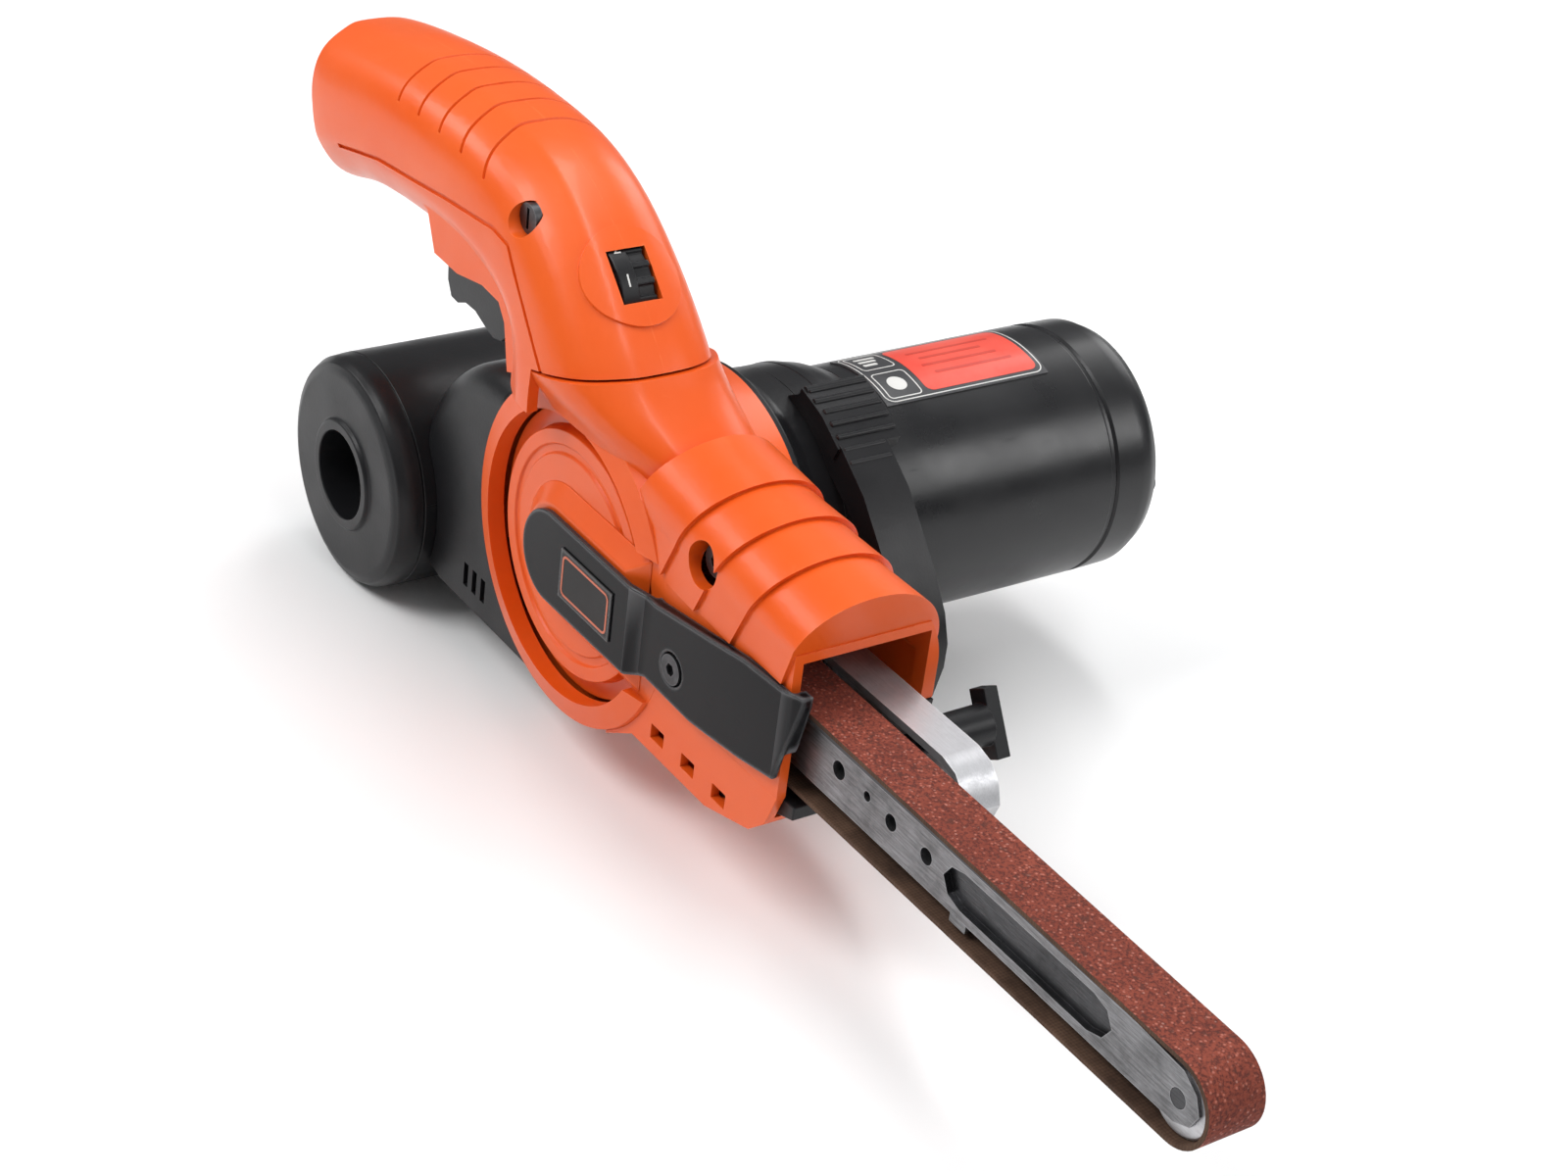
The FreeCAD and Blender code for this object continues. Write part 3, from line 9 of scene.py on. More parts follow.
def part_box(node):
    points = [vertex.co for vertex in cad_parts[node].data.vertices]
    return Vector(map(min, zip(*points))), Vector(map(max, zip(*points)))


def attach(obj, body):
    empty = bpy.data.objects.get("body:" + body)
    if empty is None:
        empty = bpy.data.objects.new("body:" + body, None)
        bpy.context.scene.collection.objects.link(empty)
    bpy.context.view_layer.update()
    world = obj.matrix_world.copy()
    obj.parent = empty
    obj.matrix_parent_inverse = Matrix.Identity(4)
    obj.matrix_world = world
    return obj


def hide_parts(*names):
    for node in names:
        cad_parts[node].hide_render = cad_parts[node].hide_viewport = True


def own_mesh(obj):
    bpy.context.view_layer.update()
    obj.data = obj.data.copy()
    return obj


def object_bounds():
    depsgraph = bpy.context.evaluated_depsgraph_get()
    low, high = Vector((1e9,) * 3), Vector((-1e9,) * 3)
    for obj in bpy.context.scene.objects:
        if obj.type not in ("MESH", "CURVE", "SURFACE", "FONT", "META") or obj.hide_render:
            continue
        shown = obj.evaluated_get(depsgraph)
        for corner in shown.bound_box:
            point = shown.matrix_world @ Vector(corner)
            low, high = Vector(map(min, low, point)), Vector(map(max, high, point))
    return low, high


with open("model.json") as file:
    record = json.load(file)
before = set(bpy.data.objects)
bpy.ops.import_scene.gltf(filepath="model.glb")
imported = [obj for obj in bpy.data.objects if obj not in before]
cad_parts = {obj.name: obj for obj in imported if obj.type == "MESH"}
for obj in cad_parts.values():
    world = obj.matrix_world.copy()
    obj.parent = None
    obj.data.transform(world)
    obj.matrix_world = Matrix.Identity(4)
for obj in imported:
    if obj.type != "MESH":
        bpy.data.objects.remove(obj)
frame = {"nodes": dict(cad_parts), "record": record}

# The looks of a handheld narrow-belt sander. Every CAD node gets a piece of the same shape with
# rounded edges, a fine surface and wear, and small things such as dial figures are added to them.

CAD_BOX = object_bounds()
BODY_OF = {node: body for body, nodes in frame["record"]["behaviour"]["bodies"].items() for node in nodes}
SLOT_OF = {part["node"]: part["material_slot"] for part in frame["record"]["subparts"]}

# The drive axis at the belt's centre plane, in the row frame, in metres: places below start there.
DRIVE = Vector((-0.0442, -0.0570, 0.0527))
MM = 0.001

# Sizes in millimetres. The recess is the pressed one in the arm's left face, which gets painted shade;
# it is a little longer and deeper here than it is, so that its walls count as part of it.
NOSE_FORWARD = 198.4
ARM_HALF_WIDTH = 5.5
RECESS_START, RECESS_END, RECESS_DEPTH = 129, 181, 1.7
BARREL_RADIUS = 30.6


def place(forward, side, up):
    """A point given from the drive axis in millimetres: forward along the belt, side towards the motor."""
    return DRIVE + Vector((forward, side, up)) * MM


# ------------------------------------------------------------------------------------ materials


class Surface:
    """A material under construction: a principled shader and short ways to wire nodes to it."""

    def __init__(self, name):
        self.material = bpy.data.materials.new(name)
        self.material.use_nodes = True
        self.nodes = self.material.node_tree.nodes
        self.links = self.material.node_tree.links
        self.shader = self.nodes["Principled BSDF"]
        self.coordinates = self.nodes.new("ShaderNodeTexCoord").outputs["Object"]

    def put(self, socket, value):
        if isinstance(value, bpy.types.NodeSocket):
            self.links.new(value, socket)
        else:
            socket.default_value = value

    def node(self, kind, inputs=None, **settings):
        made = self.nodes.new("ShaderNode" + kind)
        for key, value in settings.items():
            setattr(made, key, value)
        for key, value in (inputs or {}).items():
            self.put(made.inputs[key], value)
        return made

    def stretched(self, scale):
        """Object coordinates, scaled differently along each axis, for streaks."""
        return self.node("Mapping", {"Vector": self.coordinates, "Scale": scale}).outputs["Vector"]

    def noise(self, scale, detail=3.0, roughness=0.55, stretch=None):
        vector = self.stretched(stretch) if stretch else self.coordinates
        inputs = {"Vector": vector, "Scale": scale, "Detail": detail, "Roughness": roughness}
        return self.node("TexNoise", inputs).outputs["Fac"]

    def cells(self, scale, feature="F1"):
        inputs = {"Vector": self.coordinates, "Scale": scale}
        return self.node("TexVoronoi", inputs, feature=feature).outputs["Distance"]

    def ramp(self, value, low, high, start=0.0, end=1.0):
        inputs = {"Value": value, "From Min": low, "From Max": high, "To Min": start, "To Max": end}
        return self.node("MapRange", inputs).outputs["Result"]

    def sum(self, first, second):
        return self.node("Math", {0: first, 1: second}, operation="ADD").outputs[0]

    def product(self, first, second):
        return self.node("Math", {0: first, 1: second}, operation="MULTIPLY").outputs[0]

    def mix(self, factor, first, second):
        made = self.node("Mix", {"Factor": factor}, data_type="RGBA")
        self.put(made.inputs["A"], first)
        self.put(made.inputs["B"], second)
        return made.outputs["Result"]

    def bump(self, height, distance, strength=1.0):
        """Adds a layer of relief of this depth in metres to what the shader already has."""
        inputs = {"Height": height, "Distance": distance, "Strength": strength}
        made = self.node("Bump", inputs)
        before = self.shader.inputs["Normal"]
        if before.is_linked:
            self.links.new(before.links[0].from_socket, made.inputs["Normal"])
        self.links.new(made.outputs["Normal"], before)

    def edges(self, radius):
        """A mask that is 1 on outside and inside corners tighter than this radius in metres."""
        rounded = self.node("Bevel", {"Radius": radius}, samples=6).outputs["Normal"]
        flat = self.node("NewGeometry").outputs["True Normal"]
        cosine = self.node("VectorMath", {0: rounded, 1: flat}, operation="DOT_PRODUCT").outputs["Value"]
        return self.ramp(cosine, 0.99, 0.80)

    def finish(self, colour, roughness, metallic=0.0, **more):
        self.put(self.shader.inputs["Base Color"], colour)
        self.put(self.shader.inputs["Roughness"], roughness)
        self.put(self.shader.inputs["Metallic"], metallic)
        for key, value in more.items():
            self.put(self.shader.inputs[key.replace("_", " ")], value)
        return self.material


def rgb(red, green, blue):
    return (red, green, blue, 1.0)


def moulded(name, colour, worn, roughness, grain, coat=0.0, specular=0.5):
    """Moulded plastic: spark-eroded grain, faint flow marks, scuffs, and edges rubbed lighter."""
    s = Surface(name)
    cloud = s.noise(28, 4)
    scuffs = s.ramp(s.noise(160, 6, 0.7, (1, 1, 4)), 0.60, 0.78)
    rubbed = s.product(s.edges(0.0006), s.ramp(s.noise(220, 3), 0.42, 0.62))
    base = s.mix(s.ramp(cloud, 0.3, 0.7, 0, 0.16), colour, worn)
    marked = s.mix(s.product(rubbed, 0.38), s.mix(s.product(scuffs, 0.10), base, worn), worn)
    clouded = s.ramp(s.noise(60, 5), 0.3, 0.7, roughness - 0.05, roughness + 0.07)
    gloss = s.sum(clouded, s.product(scuffs, 0.10))
    s.bump(s.noise(2600, 2), 0.00003 * grain, 0.5)
    s.bump(s.cells(1500), 0.00002 * grain, 0.4)
    s.bump(s.noise(45, 2), 0.0003, 0.10)
    return s.finish(marked, gloss, Coat_Weight=coat, Coat_Roughness=0.08, Specular_IOR_Level=specular)


def glossy(name, colour, roughness=0.13, coat=0.02, specular=0.13, corner_highlight=0.75):
    """Polished trim with hairline scratches, finger marks, a little dust, and a painted highlight along its
    corners.
    """
    s = Surface(name)
    hairlines = s.ramp(s.noise(90, 8, 0.75, (1, 12, 12)), 0.62, 0.70)
    smears = s.noise(38, 5, 0.65)
    dust = s.ramp(s.cells(900), 0.10, 0.04)
    pale = rgb(*(0.55 * part + 0.10 for part in colour[:3]))
    corners = s.edges(0.0016)
    dusty = s.mix(s.product(dust, 0.06), colour, pale)
    # Painted highlight: the corners are mixed towards a lighter grey, standing in for a lamp's reflection on
    # the rounded edges.
    base = s.mix(s.product(corners, corner_highlight), dusty, rgb(0.20, 0.20, 0.21))
    gloss = s.sum(s.ramp(smears, 0.35, 0.7, roughness, roughness + 0.16), s.product(hairlines, 0.12))
    sheen = s.ramp(corners, 0, 1, specular, 0.8)
    s.bump(hairlines, 0.00001, 0.25)
    s.bump(s.noise(24, 2), 0.0003, 0.10)
    return s.finish(base, gloss, Coat_Weight=coat, Coat_Roughness=0.06, Specular_IOR_Level=sheen)


def metal(name, colour, dark, roughness, streaks=(1, 14, 14), bite=0.35, metallic=0.95):
    """Drawn or pressed metal: long streaks, small pits, oil stains and bright worn edges."""
    s = Surface(name)
    grain = s.noise(190, 6, 0.7, streaks)
    stains = s.ramp(s.noise(75, 5, 0.7), 0.46, 0.66)
    pits = s.ramp(s.cells(620), 0.13, 0.05)
    base = s.mix(s.ramp(grain, 0.35, 0.68, 0, bite), colour, dark)
    stained = s.mix(s.product(stains, 0.45), base, dark)
    bright = rgb(*(min(1.0, 1.5 * part + 0.06) for part in colour[:3]))
    shown = s.mix(s.product(s.edges(0.0005), 0.55), s.mix(s.product(pits, 0.2), stained, dark), bright)
    gloss = s.sum(s.ramp(grain, 0.3, 0.7, roughness - 0.08, roughness + 0.12), s.product(stains, 0.10))
    s.bump(grain, 0.00002, 0.5)
    s.bump(pits, 0.00001, 0.2)
    return s.finish(shown, gloss, metallic)


def rubbery(name, colour):
    s = Surface(name)
    bloom = s.ramp(s.noise(55, 5, 0.7), 0.4, 0.7)
    pale = rgb(*(part + 0.035 for part in colour[:3]))
    base = s.mix(s.product(bloom, 0.5), colour, pale)
    s.bump(s.noise(1500, 3), 0.00004, 0.6)
    return s.finish(base, s.ramp(bloom, 0, 1, 0.62, 0.82), Specular_IOR_Level=0.3)


def grit(name):
    """Aluminium-oxide grains in red-brown resin, with painted glints on some of them, some clogged dark."""
    s = Surface(name)
    grains = s.cells(820)
    fine = s.noise(1500, 3, 0.7)
    patches = s.noise(70, 4, 0.6)
    resin = s.mix(s.ramp(patches, 0.35, 0.7), rgb(0.17, 0.032, 0.018), rgb(0.25, 0.055, 0.032))
    crowns = s.ramp(grains, 0.30, 0.10)
    between = s.mix(s.ramp(fine, 0.40, 0.56, 0.85, 0), resin, rgb(0.07, 0.014, 0.01))
    body = s.mix(s.product(crowns, 0.75), between, rgb(0.42, 0.125, 0.082))
    # Painted glints: pale specks on some grains stand in for light catching their facets.
    glints = s.ramp(s.cells(560), 0.17, 0.11)
    clogged = s.ramp(s.noise(520, 3, 0.6), 0.58, 0.66)
    speckled = s.mix(s.product(clogged, 0.65), s.mix(s.product(glints, 0.3), body, rgb(0.62, 0.34, 0.28)),
                     rgb(0.065, 0.02, 0.014))
    s.bump(grains, -0.00022, 0.8)
    s.bump(fine, 0.00012, 0.7)
    return s.finish(speckled, s.ramp(crowns, 0, 1, 0.9, 0.55), Specular_IOR_Level=0.35)


def cloth(name, colour, pale):
    """The belt's woven backing: crossed threads, stained by the resin behind them."""
    s = Surface(name)
    along = s.node("TexWave", {"Vector": s.coordinates, "Scale": 420.0, "Distortion": 1.2},
                   bands_direction="X").outputs["Fac"]
    across = s.node("TexWave", {"Vector": s.coordinates, "Scale": 420.0, "Distortion": 1.2},
                    bands_direction="Y").outputs["Fac"]
    weave = s.product(s.sum(along, across), 0.5)
    stains = s.noise(60, 5, 0.7)
    base = s.mix(s.ramp(stains, 0.35, 0.68), colour, pale)
    shown = s.mix(s.ramp(weave, 0.2, 0.8, 0.35, 0), base, rgb(0.03, 0.018, 0.012))
    s.bump(weave, 0.00008, 0.7)
    return s.finish(shown, 0.86, Specular_IOR_Level=0.2)


def pleats(name):
    s = Surface(name)
    inputs = {"Vector": s.coordinates, "Scale": 130.0}
    wave = s.node("TexWave", inputs, bands_direction="DIAGONAL").outputs["Fac"]
    dirt = s.ramp(s.noise(90, 5, 0.7), 0.4, 0.7)
    base = s.mix(s.product(dirt, 0.5), rgb(0.78, 0.74, 0.63), rgb(0.42, 0.32, 0.22))
    s.bump(wave, 0.0004, 0.7)
    return s.finish(base, 0.9)


def windings(name, colour):
    """Varnished wire in layers."""
    s = Surface(name)
    wire = s.node("TexWave", {"Vector": s.coordinates, "Scale": 520.0, "Distortion": 1.5},
                  bands_direction="Y").outputs["Fac"]
    base = s.mix(s.ramp(wire, 0.2, 0.8, 0.6, 0), colour, rgb(0.12, 0.035, 0.015))
    s.bump(wire, 0.0002, 0.8)
    return s.finish(base, 0.32, 0.75, Coat_Weight=0.5)


def printed(name, colour, faded):
    """Printed film with a satin over-laminate."""
    s = Surface(name)
    fade = s.ramp(s.noise(45, 5, 0.7), 0.4, 0.72)
    scratches = s.ramp(s.noise(120, 8, 0.75, (10, 1, 10)), 0.63, 0.70)
    base = s.mix(s.sum(s.product(fade, 0.35), s.product(scratches, 0.25)), colour, faded)
    s.bump(s.noise(500, 2), 0.00002, 0.3)
    return s.finish(base, s.ramp(fade, 0, 1, 0.30, 0.44), Coat_Weight=0.35, Coat_Roughness=0.2)


ORANGE = rgb(0.72, 0.086, 0.005)
MATERIALS = {
    "orange_plastic": moulded("orange_plastic", ORANGE, rgb(0.86, 0.20, 0.055), 0.33, 0.55, 0.06, 0.34),
    "black_plastic": moulded(
        "black_plastic", rgb(0.006, 0.006, 0.007), rgb(0.036, 0.036, 0.039), 0.36, 1.0, specular=0.27
    ),
    # The glossy trims carry a painted highlight on their corners, faint on the badge.
    "gloss_black_plastic": glossy("gloss_black_plastic", rgb(0.004, 0.004, 0.005)),
    "badge_plastic": glossy("badge_plastic", rgb(0.010, 0.009, 0.009), 0.24, 0.1, corner_highlight=0.15),
    "label": printed("label", rgb(0.62, 0.045, 0.022), rgb(0.70, 0.13, 0.08)),
    "black_rubber": rubbery("black_rubber", rgb(0.018, 0.018, 0.019)),
    "abrasive": grit("abrasive"),
    "stamped_steel": metal("stamped_steel", rgb(0.26, 0.26, 0.27), rgb(0.045, 0.043, 0.042), 0.36, bite=0.6),
    "bright_steel": metal("bright_steel", rgb(0.62, 0.62, 0.64), rgb(0.30, 0.30, 0.31), 0.36, metallic=0.8),
    "graphite": moulded("graphite", rgb(0.035, 0.035, 0.038), rgb(0.12, 0.12, 0.125), 0.55, 1.4),
    "cast_aluminium": metal(
        "cast_aluminium", rgb(0.52, 0.53, 0.54), rgb(0.25, 0.25, 0.26), 0.44, (2, 2, 2), 0.3
    ),
    "lamination_steel": metal(
        "lamination_steel", rgb(0.24, 0.24, 0.25), rgb(0.06, 0.05, 0.05), 0.42, (1, 40, 1)
    ),
    "copper": windings("copper", rgb(0.60, 0.21, 0.09)),
    "brass": metal("brass", rgb(0.68, 0.47, 0.18), rgb(0.30, 0.18, 0.06), 0.30),
    "carbon": moulded("carbon", rgb(0.03, 0.03, 0.03), rgb(0.09, 0.09, 0.09), 0.60, 1.2),
    "screw_steel": metal("screw_steel", rgb(0.10, 0.10, 0.105), rgb(0.02, 0.02, 0.02), 0.34, (1, 1, 1)),
    "filter_paper": pleats("filter_paper"),
}
SATIN_BLACK = moulded("satin_black", rgb(0.005, 0.005, 0.006), rgb(0.030, 0.030, 0.033), 0.30, 0.4, 0.0, 0.40)
# Dark steel for the nose axle, also laid in the arm's recess as painted shade.
DARK_STEEL_AND_RECESS_SHADE = metal("dark_steel_and_recess_shade", rgb(0.085, 0.085, 0.090), rgb(0.016, 0.016, 0.016), 0.30, bite=0.6)
CLOTH = cloth("belt_backing", rgb(0.055, 0.030, 0.020), rgb(0.15, 0.085, 0.055))
PALE_PRINT = printed("pale_print", rgb(0.62, 0.62, 0.60), rgb(0.42, 0.42, 0.40))
DARK_PRINT = printed("dark_print", rgb(0.030, 0.030, 0.033), rgb(0.075, 0.075, 0.078))
RED_PRINT = printed("red_print", rgb(0.50, 0.030, 0.016), rgb(0.60, 0.10, 0.06))
RED_FIELD = printed("red_field", rgb(0.70, 0.055, 0.030), rgb(0.78, 0.16, 0.11))
ORANGE_PRINT = printed("orange_print", rgb(0.50, 0.085, 0.018), rgb(0.36, 0.075, 0.025))

# -------------------------------------------------------------------------- pieces over CAD nodes

EDGE_ROUND = {
    "orange_plastic": 0.45, "black_plastic": 0.35, "gloss_black_plastic": 0.8, "stamped_steel": 0.25,
    "bright_steel": 0.25, "cast_aluminium": 0.4, "badge_plastic": 0.15, "black_rubber": 0.3,
}
SMOOTH_ANGLE = math.radians(32)


def add(obj, body, slot_name, *replaced):
    """Puts a piece on its body and hides the CAD nodes that it stands for; the slot name is not used."""
    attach(obj, body)
    if replaced:
        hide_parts(*replaced)
    return obj


def dress(node):
    """The visible piece for a CAD node: the same shape with softened edges, in its slot's material."""
    source = frame["nodes"][node]
    slot_name = SLOT_OF[node]
    obj = bpy.data.objects.new("look_" + node, source.data.copy())
    bpy.context.scene.collection.objects.link(obj)
    mesh = bmesh.new()
    mesh.from_mesh(obj.data)
    bmesh.ops.remove_doubles(mesh, verts=mesh.verts, dist=2e-6)
    bmesh.ops.dissolve_limit(mesh, angle_limit=math.radians(0.05), verts=mesh.verts, edges=mesh.edges)
    for face in mesh.faces:
        face.smooth = True
    for edge in mesh.edges:
        edge.smooth = len(edge.link_faces) == 2 and edge.calc_face_angle(0) < SMOOTH_ANGLE
    mesh.to_mesh(obj.data)
    mesh.free()
    obj.data.materials.clear()
    obj.data.materials.append(MATERIALS[slot_name])
    if slot_name in EDGE_ROUND:
        rounded = obj.modifiers.new("rounded", "BEVEL")
        rounded.width = EDGE_ROUND[slot_name] * MM
        rounded.segments = 3
        rounded.limit_method = "ANGLE"
        rounded.angle_limit = SMOOTH_ANGLE
        rounded.harden_normals = True
        rounded.miter_outer = "MITER_ARC"
    evened = obj.modifiers.new("evened", "WEIGHTED_NORMAL")
    evened.keep_sharp = True
    evened.mode = "FACE_AREA_WITH_ANGLE"
    return add(obj, BODY_OF[node], slot_name, node)


looks = {node: dress(node) for node in sorted(frame["nodes"])}

# ------------------------------------------------------------------------------ belt and printing


def back_the_belt():
    """Puts the cloth on the belt's inner face and its cut edges, which carry no grit."""
    mesh = looks["sanding_belt"].data
    mesh.materials.append(CLOTH)
    roller = place(NOSE_FORWARD, 0, 0)
    for face in mesh.polygons:
        nearest = Vector((min(max(face.center.x, DRIVE.x), roller.x), face.center.y, DRIVE.z))
        outward = (face.center - nearest).normalized()
        face.material_index = 0 if outward.dot(face.normal) > 0.5 else 1


def darken_the_recess():
    """Paints shade into the arm's pressed recess, between its two ends, with a darker steel."""
    mesh = looks["arm_plate"].data
    # Painted shade: the recess faces get the darker steel.
    mesh.materials.append(DARK_STEEL_AND_RECESS_SHADE)
    outer_face = DRIVE.y - ARM_HALF_WIDTH * MM
    start, end = place(RECESS_START, 0, 0).x, place(RECESS_END, 0, 0).x
    for face in mesh.polygons:
        sunk = 0.05 * MM < face.center.y - outer_face < RECESS_DEPTH * MM
        if sunk and start < face.center.x < end:
            face.material_index = 1


def rounded_outline(left, right, low, high, radius, steps=5):
    """Points round a rectangle with rounded corners, in millimetres on the print's own plane."""
    corners = [(right - radius, high - radius, 0), (left + radius, high - radius, 90),
               (left + radius, low + radius, 180), (right - radius, low + radius, 270)]
    points = []
    for across, along, start in corners:
        for step in range(steps + 1):
            angle = math.radians(start + 90 * step / steps)
            points.append((across + radius * math.cos(angle), along + radius * math.sin(angle)))
    return points


def print_piece(name, outlines, to_place, material, body, slot_name, depth=0.05, step=1.5):
    """A thin printed or inlaid shape. One outline is filled; two outlines of equal count make a border."""
    mesh = bmesh.new()
    loops = [[mesh.verts.new((x, y, 0)) for x, y in outline] for outline in outlines]
    if len(loops) == 1:
        mesh.faces.new(loops[0])
    else:
        outer, inner = loops
        for index in range(len(outer)):
            after = (index + 1) % len(outer)
            mesh.faces.new((outer[index], outer[after], inner[after], inner[index]))
    low = min(y for outline in outlines for _, y in outline)
    high = max(y for outline in outlines for _, y in outline)
    for line in range(1, int((high - low) / step)):
        geometry = mesh.verts[:] + mesh.edges[:] + mesh.faces[:]
        bmesh.ops.bisect_plane(mesh, geom=geometry, plane_co=(0, low + line * step, 0), plane_no=(0, 1, 0))
    raised = bmesh.ops.extrude_face_region(mesh, geom=mesh.faces[:])["geom"]
    for vert in raised:
        if isinstance(vert, bmesh.types.BMVert):
            vert.co.z += depth
    for vert in mesh.verts:
        vert.co = to_place(vert.co.x, vert.co.y, vert.co.z)
    bmesh.ops.recalc_face_normals(mesh, faces=mesh.faces)
    return add_mesh(name, mesh, material, body, slot_name)


def bordered(outline_values, width):
    """The outer and inner outlines of a border of this width."""
    left, right, low, high, radius = outline_values
    inner = (left + width, right - width, low + width, high - width, max(radius - width, 0.1))
    return [rounded_outline(*outline_values), rounded_outline(*inner)]


def print_label():
    """The label on the barrel: a red field with plain bars, and two plain signs in square borders."""
    low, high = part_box("rating_label")
    corners = [vert.co - DRIVE for vert in frame["nodes"]["rating_label"].data.vertices]
    angles = [math.atan2(corner.x, corner.z) for corner in corners]
    middle = (min(angles) + max(angles)) / 2
    half = BARREL_RADIUS * (max(angles) - min(angles)) / 2
    start, end = (low.y - DRIVE.y) / MM, (high.y - DRIVE.y) / MM

    def round_barrel(side, arc, lift):
        angle = middle + arc / BARREL_RADIUS
        reach = BARREL_RADIUS + lift
        return place(reach * math.sin(angle), side, reach * math.cos(angle))

    def over(lift):
        return lambda side, arc, depth: round_barrel(side, arc, lift + depth)

    def printing(name, outlines, material, lift=0.06):
        print_piece(name, outlines, over(lift), material, "base", "label", depth=0.04)

    dark_end = start + 12.5
    ground = (start + 0.3, end - 0.3, 0.3 - half, half - 0.3, 2.6)
    printing("label_ground", [rounded_outline(*ground)], DARK_PRINT, 0.0)
    edge = (start + 0.6, end - 0.6, 0.6 - half, half - 0.6, 2.4)
    printing("label_border", bordered(edge, 0.28), PALE_PRINT)
    printing("label_field", [rounded_outline(dark_end, end - 1.8, 1.8 - half, half - 1.8, 2.0)], RED_FIELD)
    sign_side = (start + dark_end) / 2 + 0.2
    for number, arc in enumerate((-half / 2 + 0.3, half / 2 - 0.3)):
        square = (sign_side - 4.6, sign_side + 4.6, arc - 4.6, arc + 4.6, 1.2)
        printing(f"label_sign_border_{number}", bordered(square, 0.3), PALE_PRINT)
    arc = half / 2 - 0.3
    dot = (sign_side - 2.4, sign_side + 2.4, arc - 2.4, arc + 2.4, 2.4)
    printing("label_dot", [rounded_outline(*dot)], PALE_PRINT)
    arc = -half / 2 + 0.3
    for number in range(3):
        bar_arc = arc + 2 * number
        bar = (sign_side - 2.8, sign_side + 2.8 - 0.9 * number, bar_arc - 2.6, bar_arc - 1.5, 0.3)
        printing(f"label_sign_bar_{number}", [rounded_outline(*bar)], PALE_PRINT)
    for number in range(4):
        bar_start = dark_end + 4 + 1.5 * (number % 2)
        bar_arc = -half + 6.2 + 3.2 * number
        bar = (bar_start, end - 6 - 2.2 * ((number * 2) % 3), bar_arc, bar_arc + 0.9, 0.3)
        printing(f"label_bar_{number}", [rounded_outline(*bar)], RED_PRINT, 0.1)


def print_badge():
    """A thin plain border on the blank plate of the side strip."""
    low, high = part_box("badge_plate")
    left, right = (low.x - DRIVE.x) / MM, (high.x - DRIVE.x) / MM
    bottom, top = (low.z - DRIVE.z) / MM, (high.z - DRIVE.z) / MM
    face = (low.y - DRIVE.y) / MM
    values = (left + 1.0, right - 1.0, bottom + 1.0, top - 1.0, 1.6)
    print_piece(
        "badge_border", bordered(values, 0.55), lambda x, z, lift: place(x, face - lift, z),
        ORANGE_PRINT, "base", "badge_plastic",
    )


def add_mesh(name, mesh, material, body, slot_name):
    """Turns a finished bmesh into a smooth-shaded piece."""
    for face in mesh.faces:
        face.smooth = True
    for edge in mesh.edges:
        edge.smooth = len(edge.link_faces) == 2 and edge.calc_face_angle(0) < SMOOTH_ANGLE
    data = bpy.data.meshes.new(name)
    mesh.to_mesh(data)
    mesh.free()
    data.materials.append(material)
    obj = bpy.data.objects.new(name, data)
    bpy.context.scene.collection.objects.link(obj)
    return add(obj, body, slot_name)


def number_the_wheel():
    """A smooth band on the left half of the ribbed speed wheel, with plain figures round it."""
    low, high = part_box("speed_wheel")
    centre = (low + high) / 2
    reach = (high.z - low.z) / 2
    left, right = low.y + 0.1 * MM, centre.y
    mesh = bmesh.new()
    rings = []
    steps = 72
    root, shoulder, top, chamfer = reach - 0.9 * MM, reach - 0.1 * MM, reach + 0.05 * MM, 0.2 * MM
    profile = (
        (left, root), (left, shoulder), (left + chamfer, top),
        (right - chamfer, top), (right, shoulder), (right, root),
    )
    for side, radius in profile:
        rings.append([
            mesh.verts.new((centre.x + radius * math.sin(2 * math.pi * step / steps), side,
                            centre.z + radius * math.cos(2 * math.pi * step / steps)))
            for step in range(steps)
        ])
    for first, second in zip(rings, rings[1:] + rings[:1]):
        for step in range(steps):
            after = (step + 1) % steps
            mesh.faces.new((first[step], first[after], second[after], second[step]))
    bmesh.ops.recalc_face_normals(mesh, faces=mesh.faces)
    add_mesh("wheel_band", mesh, MATERIALS["black_plastic"], "thumb_wheel", "black_plastic")
    middle = Vector((centre.x, (left + right) / 2, centre.z))
    figure_height, first_angle, angle_step = 4.0 * MM, 52, 36
    for number in range(1, 8):
        curve = bpy.data.curves.new(f"wheel_figure_{number}", "FONT")
        curve.body = str(number)
        curve.size = figure_height
        curve.extrude = 0.03 * MM
        curve.align_x = curve.align_y = "CENTER"
        curve.materials.append(PALE_PRINT)
        obj = bpy.data.objects.new(curve.name, curve)
        bpy.context.scene.collection.objects.link(obj)
        angle = math.radians(first_angle - angle_step * (number - 1))
        out = Vector((math.sin(angle), 0, math.cos(angle)))
        across = Vector((0, 1, 0))
        turn = Matrix((across, out.cross(across), out)).transposed()
        obj.matrix_world = Matrix.Translation(middle + out * (reach + 0.07 * MM)) @ turn.to_4x4()
        add(obj, "thumb_wheel", "black_plastic")


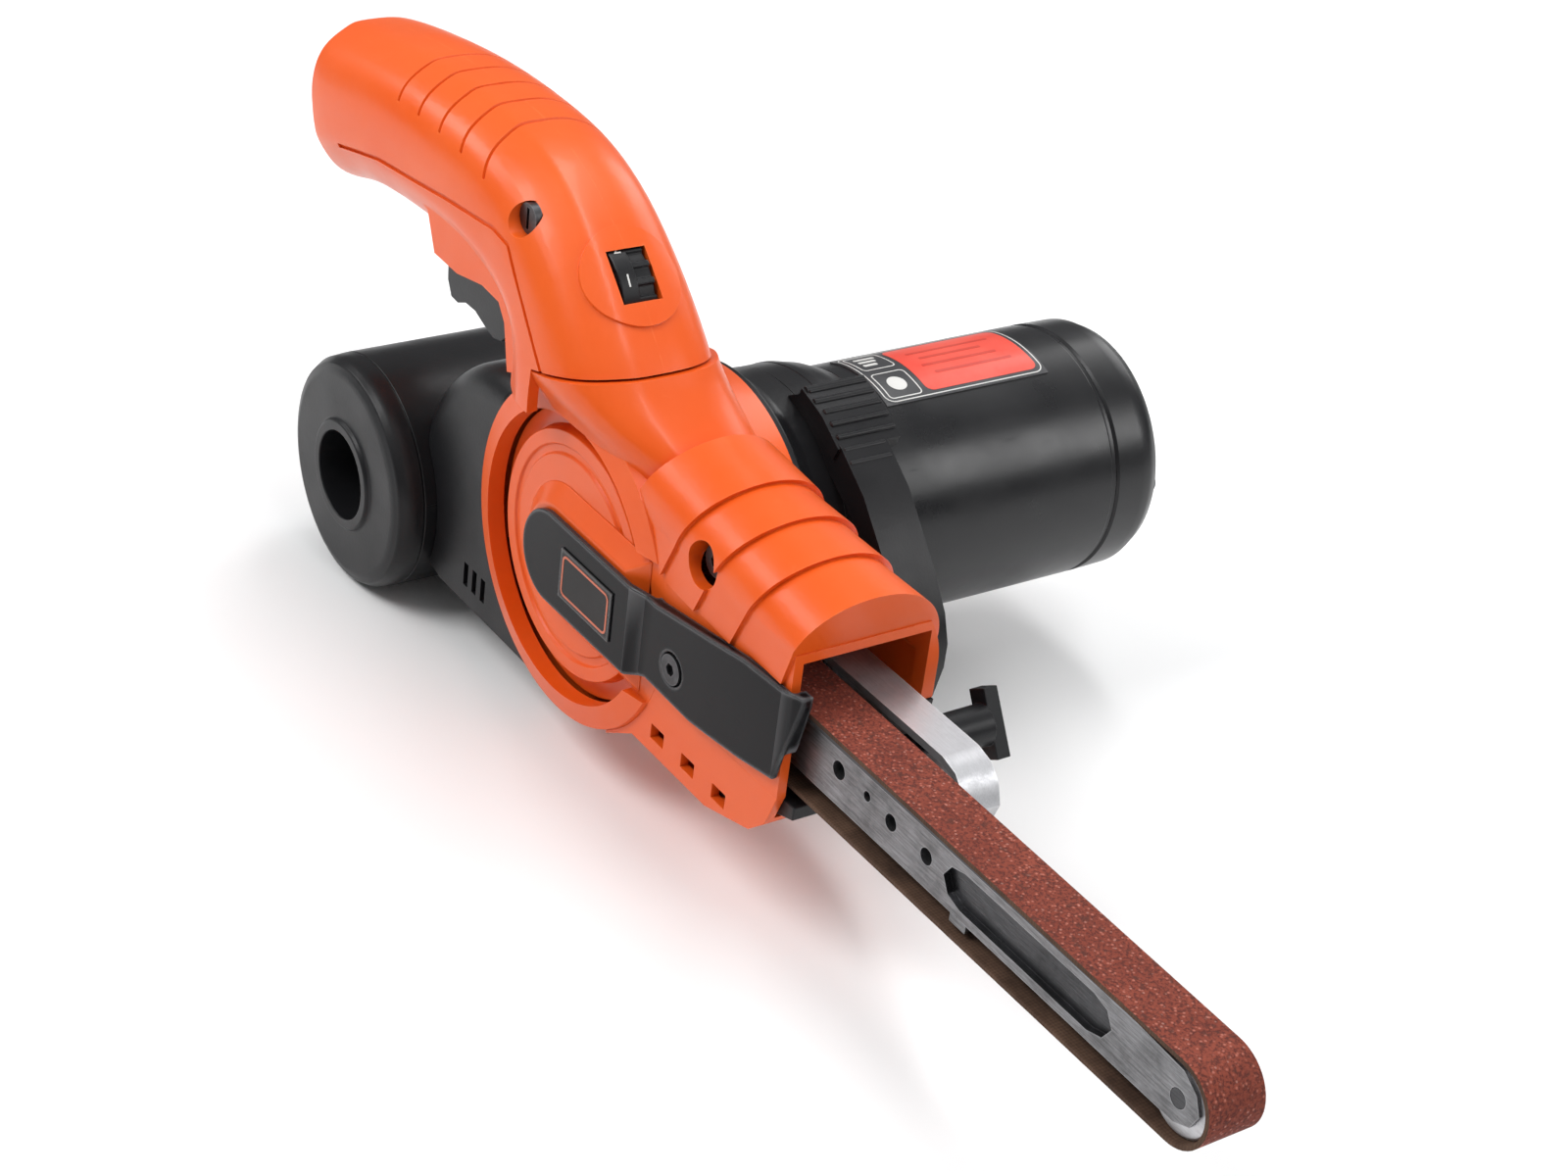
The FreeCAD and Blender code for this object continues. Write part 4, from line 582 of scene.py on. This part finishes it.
def rib_the_thumb_pad():
    """Rounded grip ribs across the tension lever's thumb pad."""
    # The pad's top seen from the side, as forward and up places.
    line = [Vector((11.6, 37.3)), Vector((20, 34.6)), Vector((27, 30.2)), Vector((33, 26.3))]
    first, pitch = 1.0, 3.3
    near, wide_end, narrow_end, wide_ribs = 38.3, 53.8, 49.6, 5
    rib_radius, tip_radius = 0.75, 0.35
    lengths = [(end - start).length for start, end in zip(line, line[1:])]
    mesh = bmesh.new()
    for number in range(7):
        distance = first + pitch * number
        for start, end, length in zip(line, line[1:], lengths):
            if distance <= length:
                break
            distance -= length
        centre = start + (end - start) * min(distance / length, 1)
        far = wide_end if number < wide_ribs else narrow_end
        rings = []
        rounded = ((near, tip_radius), (near + 0.3, rib_radius), (far - 0.3, rib_radius), (far, tip_radius))
        for side, radius in rounded:
            angles = [2 * math.pi * step / 12 for step in range(12)]
            rings.append([
                mesh.verts.new(place(centre.x + radius * math.cos(a), side, centre.y + radius * math.sin(a)))
                for a in angles
            ])
        for ring, next_ring in zip(rings, rings[1:]):
            for step in range(12):
                after = (step + 1) % 12
                mesh.faces.new((ring[step], ring[after], next_ring[after], next_ring[step]))
        mesh.faces.new(rings[0])
        mesh.faces.new(rings[-1])
    bmesh.ops.recalc_face_normals(mesh, faces=mesh.faces)
    add_mesh("thumb_ribs", mesh, MATERIALS["black_plastic"], "lever", "black_plastic")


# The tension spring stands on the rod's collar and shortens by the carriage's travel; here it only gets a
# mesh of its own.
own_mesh(looks["tension_spring"])

rib_the_thumb_pad()
looks["rating_label"].data.materials[0] = DARK_PRINT
looks["motor_barrel"].data.materials[0] = looks["motor_end_cap"].data.materials[0] = SATIN_BLACK
looks["nose_axle"].data.materials[0] = DARK_STEEL_AND_RECESS_SHADE
# Painted shade in the arm's recess.
darken_the_recess()
back_the_belt()
print_label()
print_badge()
number_the_wheel()

# ----------------------------------------------------------------------------- camera and lights


def make_camera():
    """Looks down on the left side from ahead, about 30 degrees above the horizon."""
    data = bpy.data.cameras.new("camera")
    data.lens = 66.5
    data.sensor_width = 36
    camera = bpy.data.objects.new("camera", data)
    bpy.context.scene.collection.objects.link(camera)
    right = Vector((0.5531, 0.8253, 0.1141)).normalized()
    back = Vector((0.6799, -0.5262, 0.5107)).normalized()
    up = back.cross(right).normalized()
    turn = Matrix((right, up, back)).transposed()
    camera.matrix_world = Matrix.Translation(place(456.7, -304.8, 320.7)) @ turn.to_4x4()
    bpy.context.scene.camera = camera


def make_light(name, where, target, size, power, colour=(1, 1, 1)):
    data = bpy.data.lights.new(name, "AREA")
    data.shape = "RECTANGLE"
    data.size, data.size_y = size
    data.energy = power
    data.color = colour
    light = bpy.data.objects.new(name, data)
    bpy.context.scene.collection.objects.link(light)
    light.location = where
    light.rotation_euler = (Vector(target) - Vector(where)).to_track_quat("-Z", "Y").to_euler()


def make_studio():
    world = bpy.data.worlds.new("studio")
    world.use_nodes = True
    nodes, links = world.node_tree.nodes, world.node_tree.links
    direction = nodes.new("ShaderNodeSeparateXYZ")
    links.new(nodes.new("ShaderNodeTexCoord").outputs["Generated"], direction.inputs["Vector"])
    brighter_above = nodes.new("ShaderNodeMapRange")
    links.new(direction.outputs["Z"], brighter_above.inputs["Value"])
    for key, value in {"From Min": -0.05, "From Max": 0.95, "To Min": 0.10, "To Max": 0.52}.items():
        brighter_above.inputs[key].default_value = value
    nodes["Background"].inputs["Color"].default_value = rgb(0.97, 0.985, 1.0)
    links.new(brighter_above.outputs["Result"], nodes["Background"].inputs["Strength"])
    bpy.context.scene.world = world
    bpy.ops.mesh.primitive_plane_add(size=6, location=(0, 0, CAD_BOX[0].z))
    floor = bpy.context.object
    floor.name = "floor"
    s = Surface("floor")
    paper = s.mix(s.noise(3, 2), rgb(0.86, 0.86, 0.86), rgb(0.88, 0.88, 0.88))
    floor.data.materials.append(s.finish(paper, 0.8))
    make_light("key", (-0.25, -0.75, 0.95), (0, 0, 0.05), (0.45, 0.45), 6.6)
    make_light("over", (0.05, 0.10, 0.95), (0, 0, 0.05), (1.1, 0.14), 5)
    make_light("fill", (1.0, -0.10, 0.50), (0, 0, 0.05), (0.6, 0.6), 0.8)
    make_light("barrel", (0.60, 0.62, 0.54), (0, 0.03, 0.06), (0.28, 0.45), 2.6)
    make_light("edge", (-0.80, -0.60, 0.65), (0, 0, 0.05), (0.6, 0.3), 2.6)
    make_light("rim", (-0.35, 0.85, 0.55), (0, 0, 0.08), (0.5, 0.5), 2.6)


make_studio()
make_camera()
bpy.context.scene.view_settings.view_transform = "Standard"
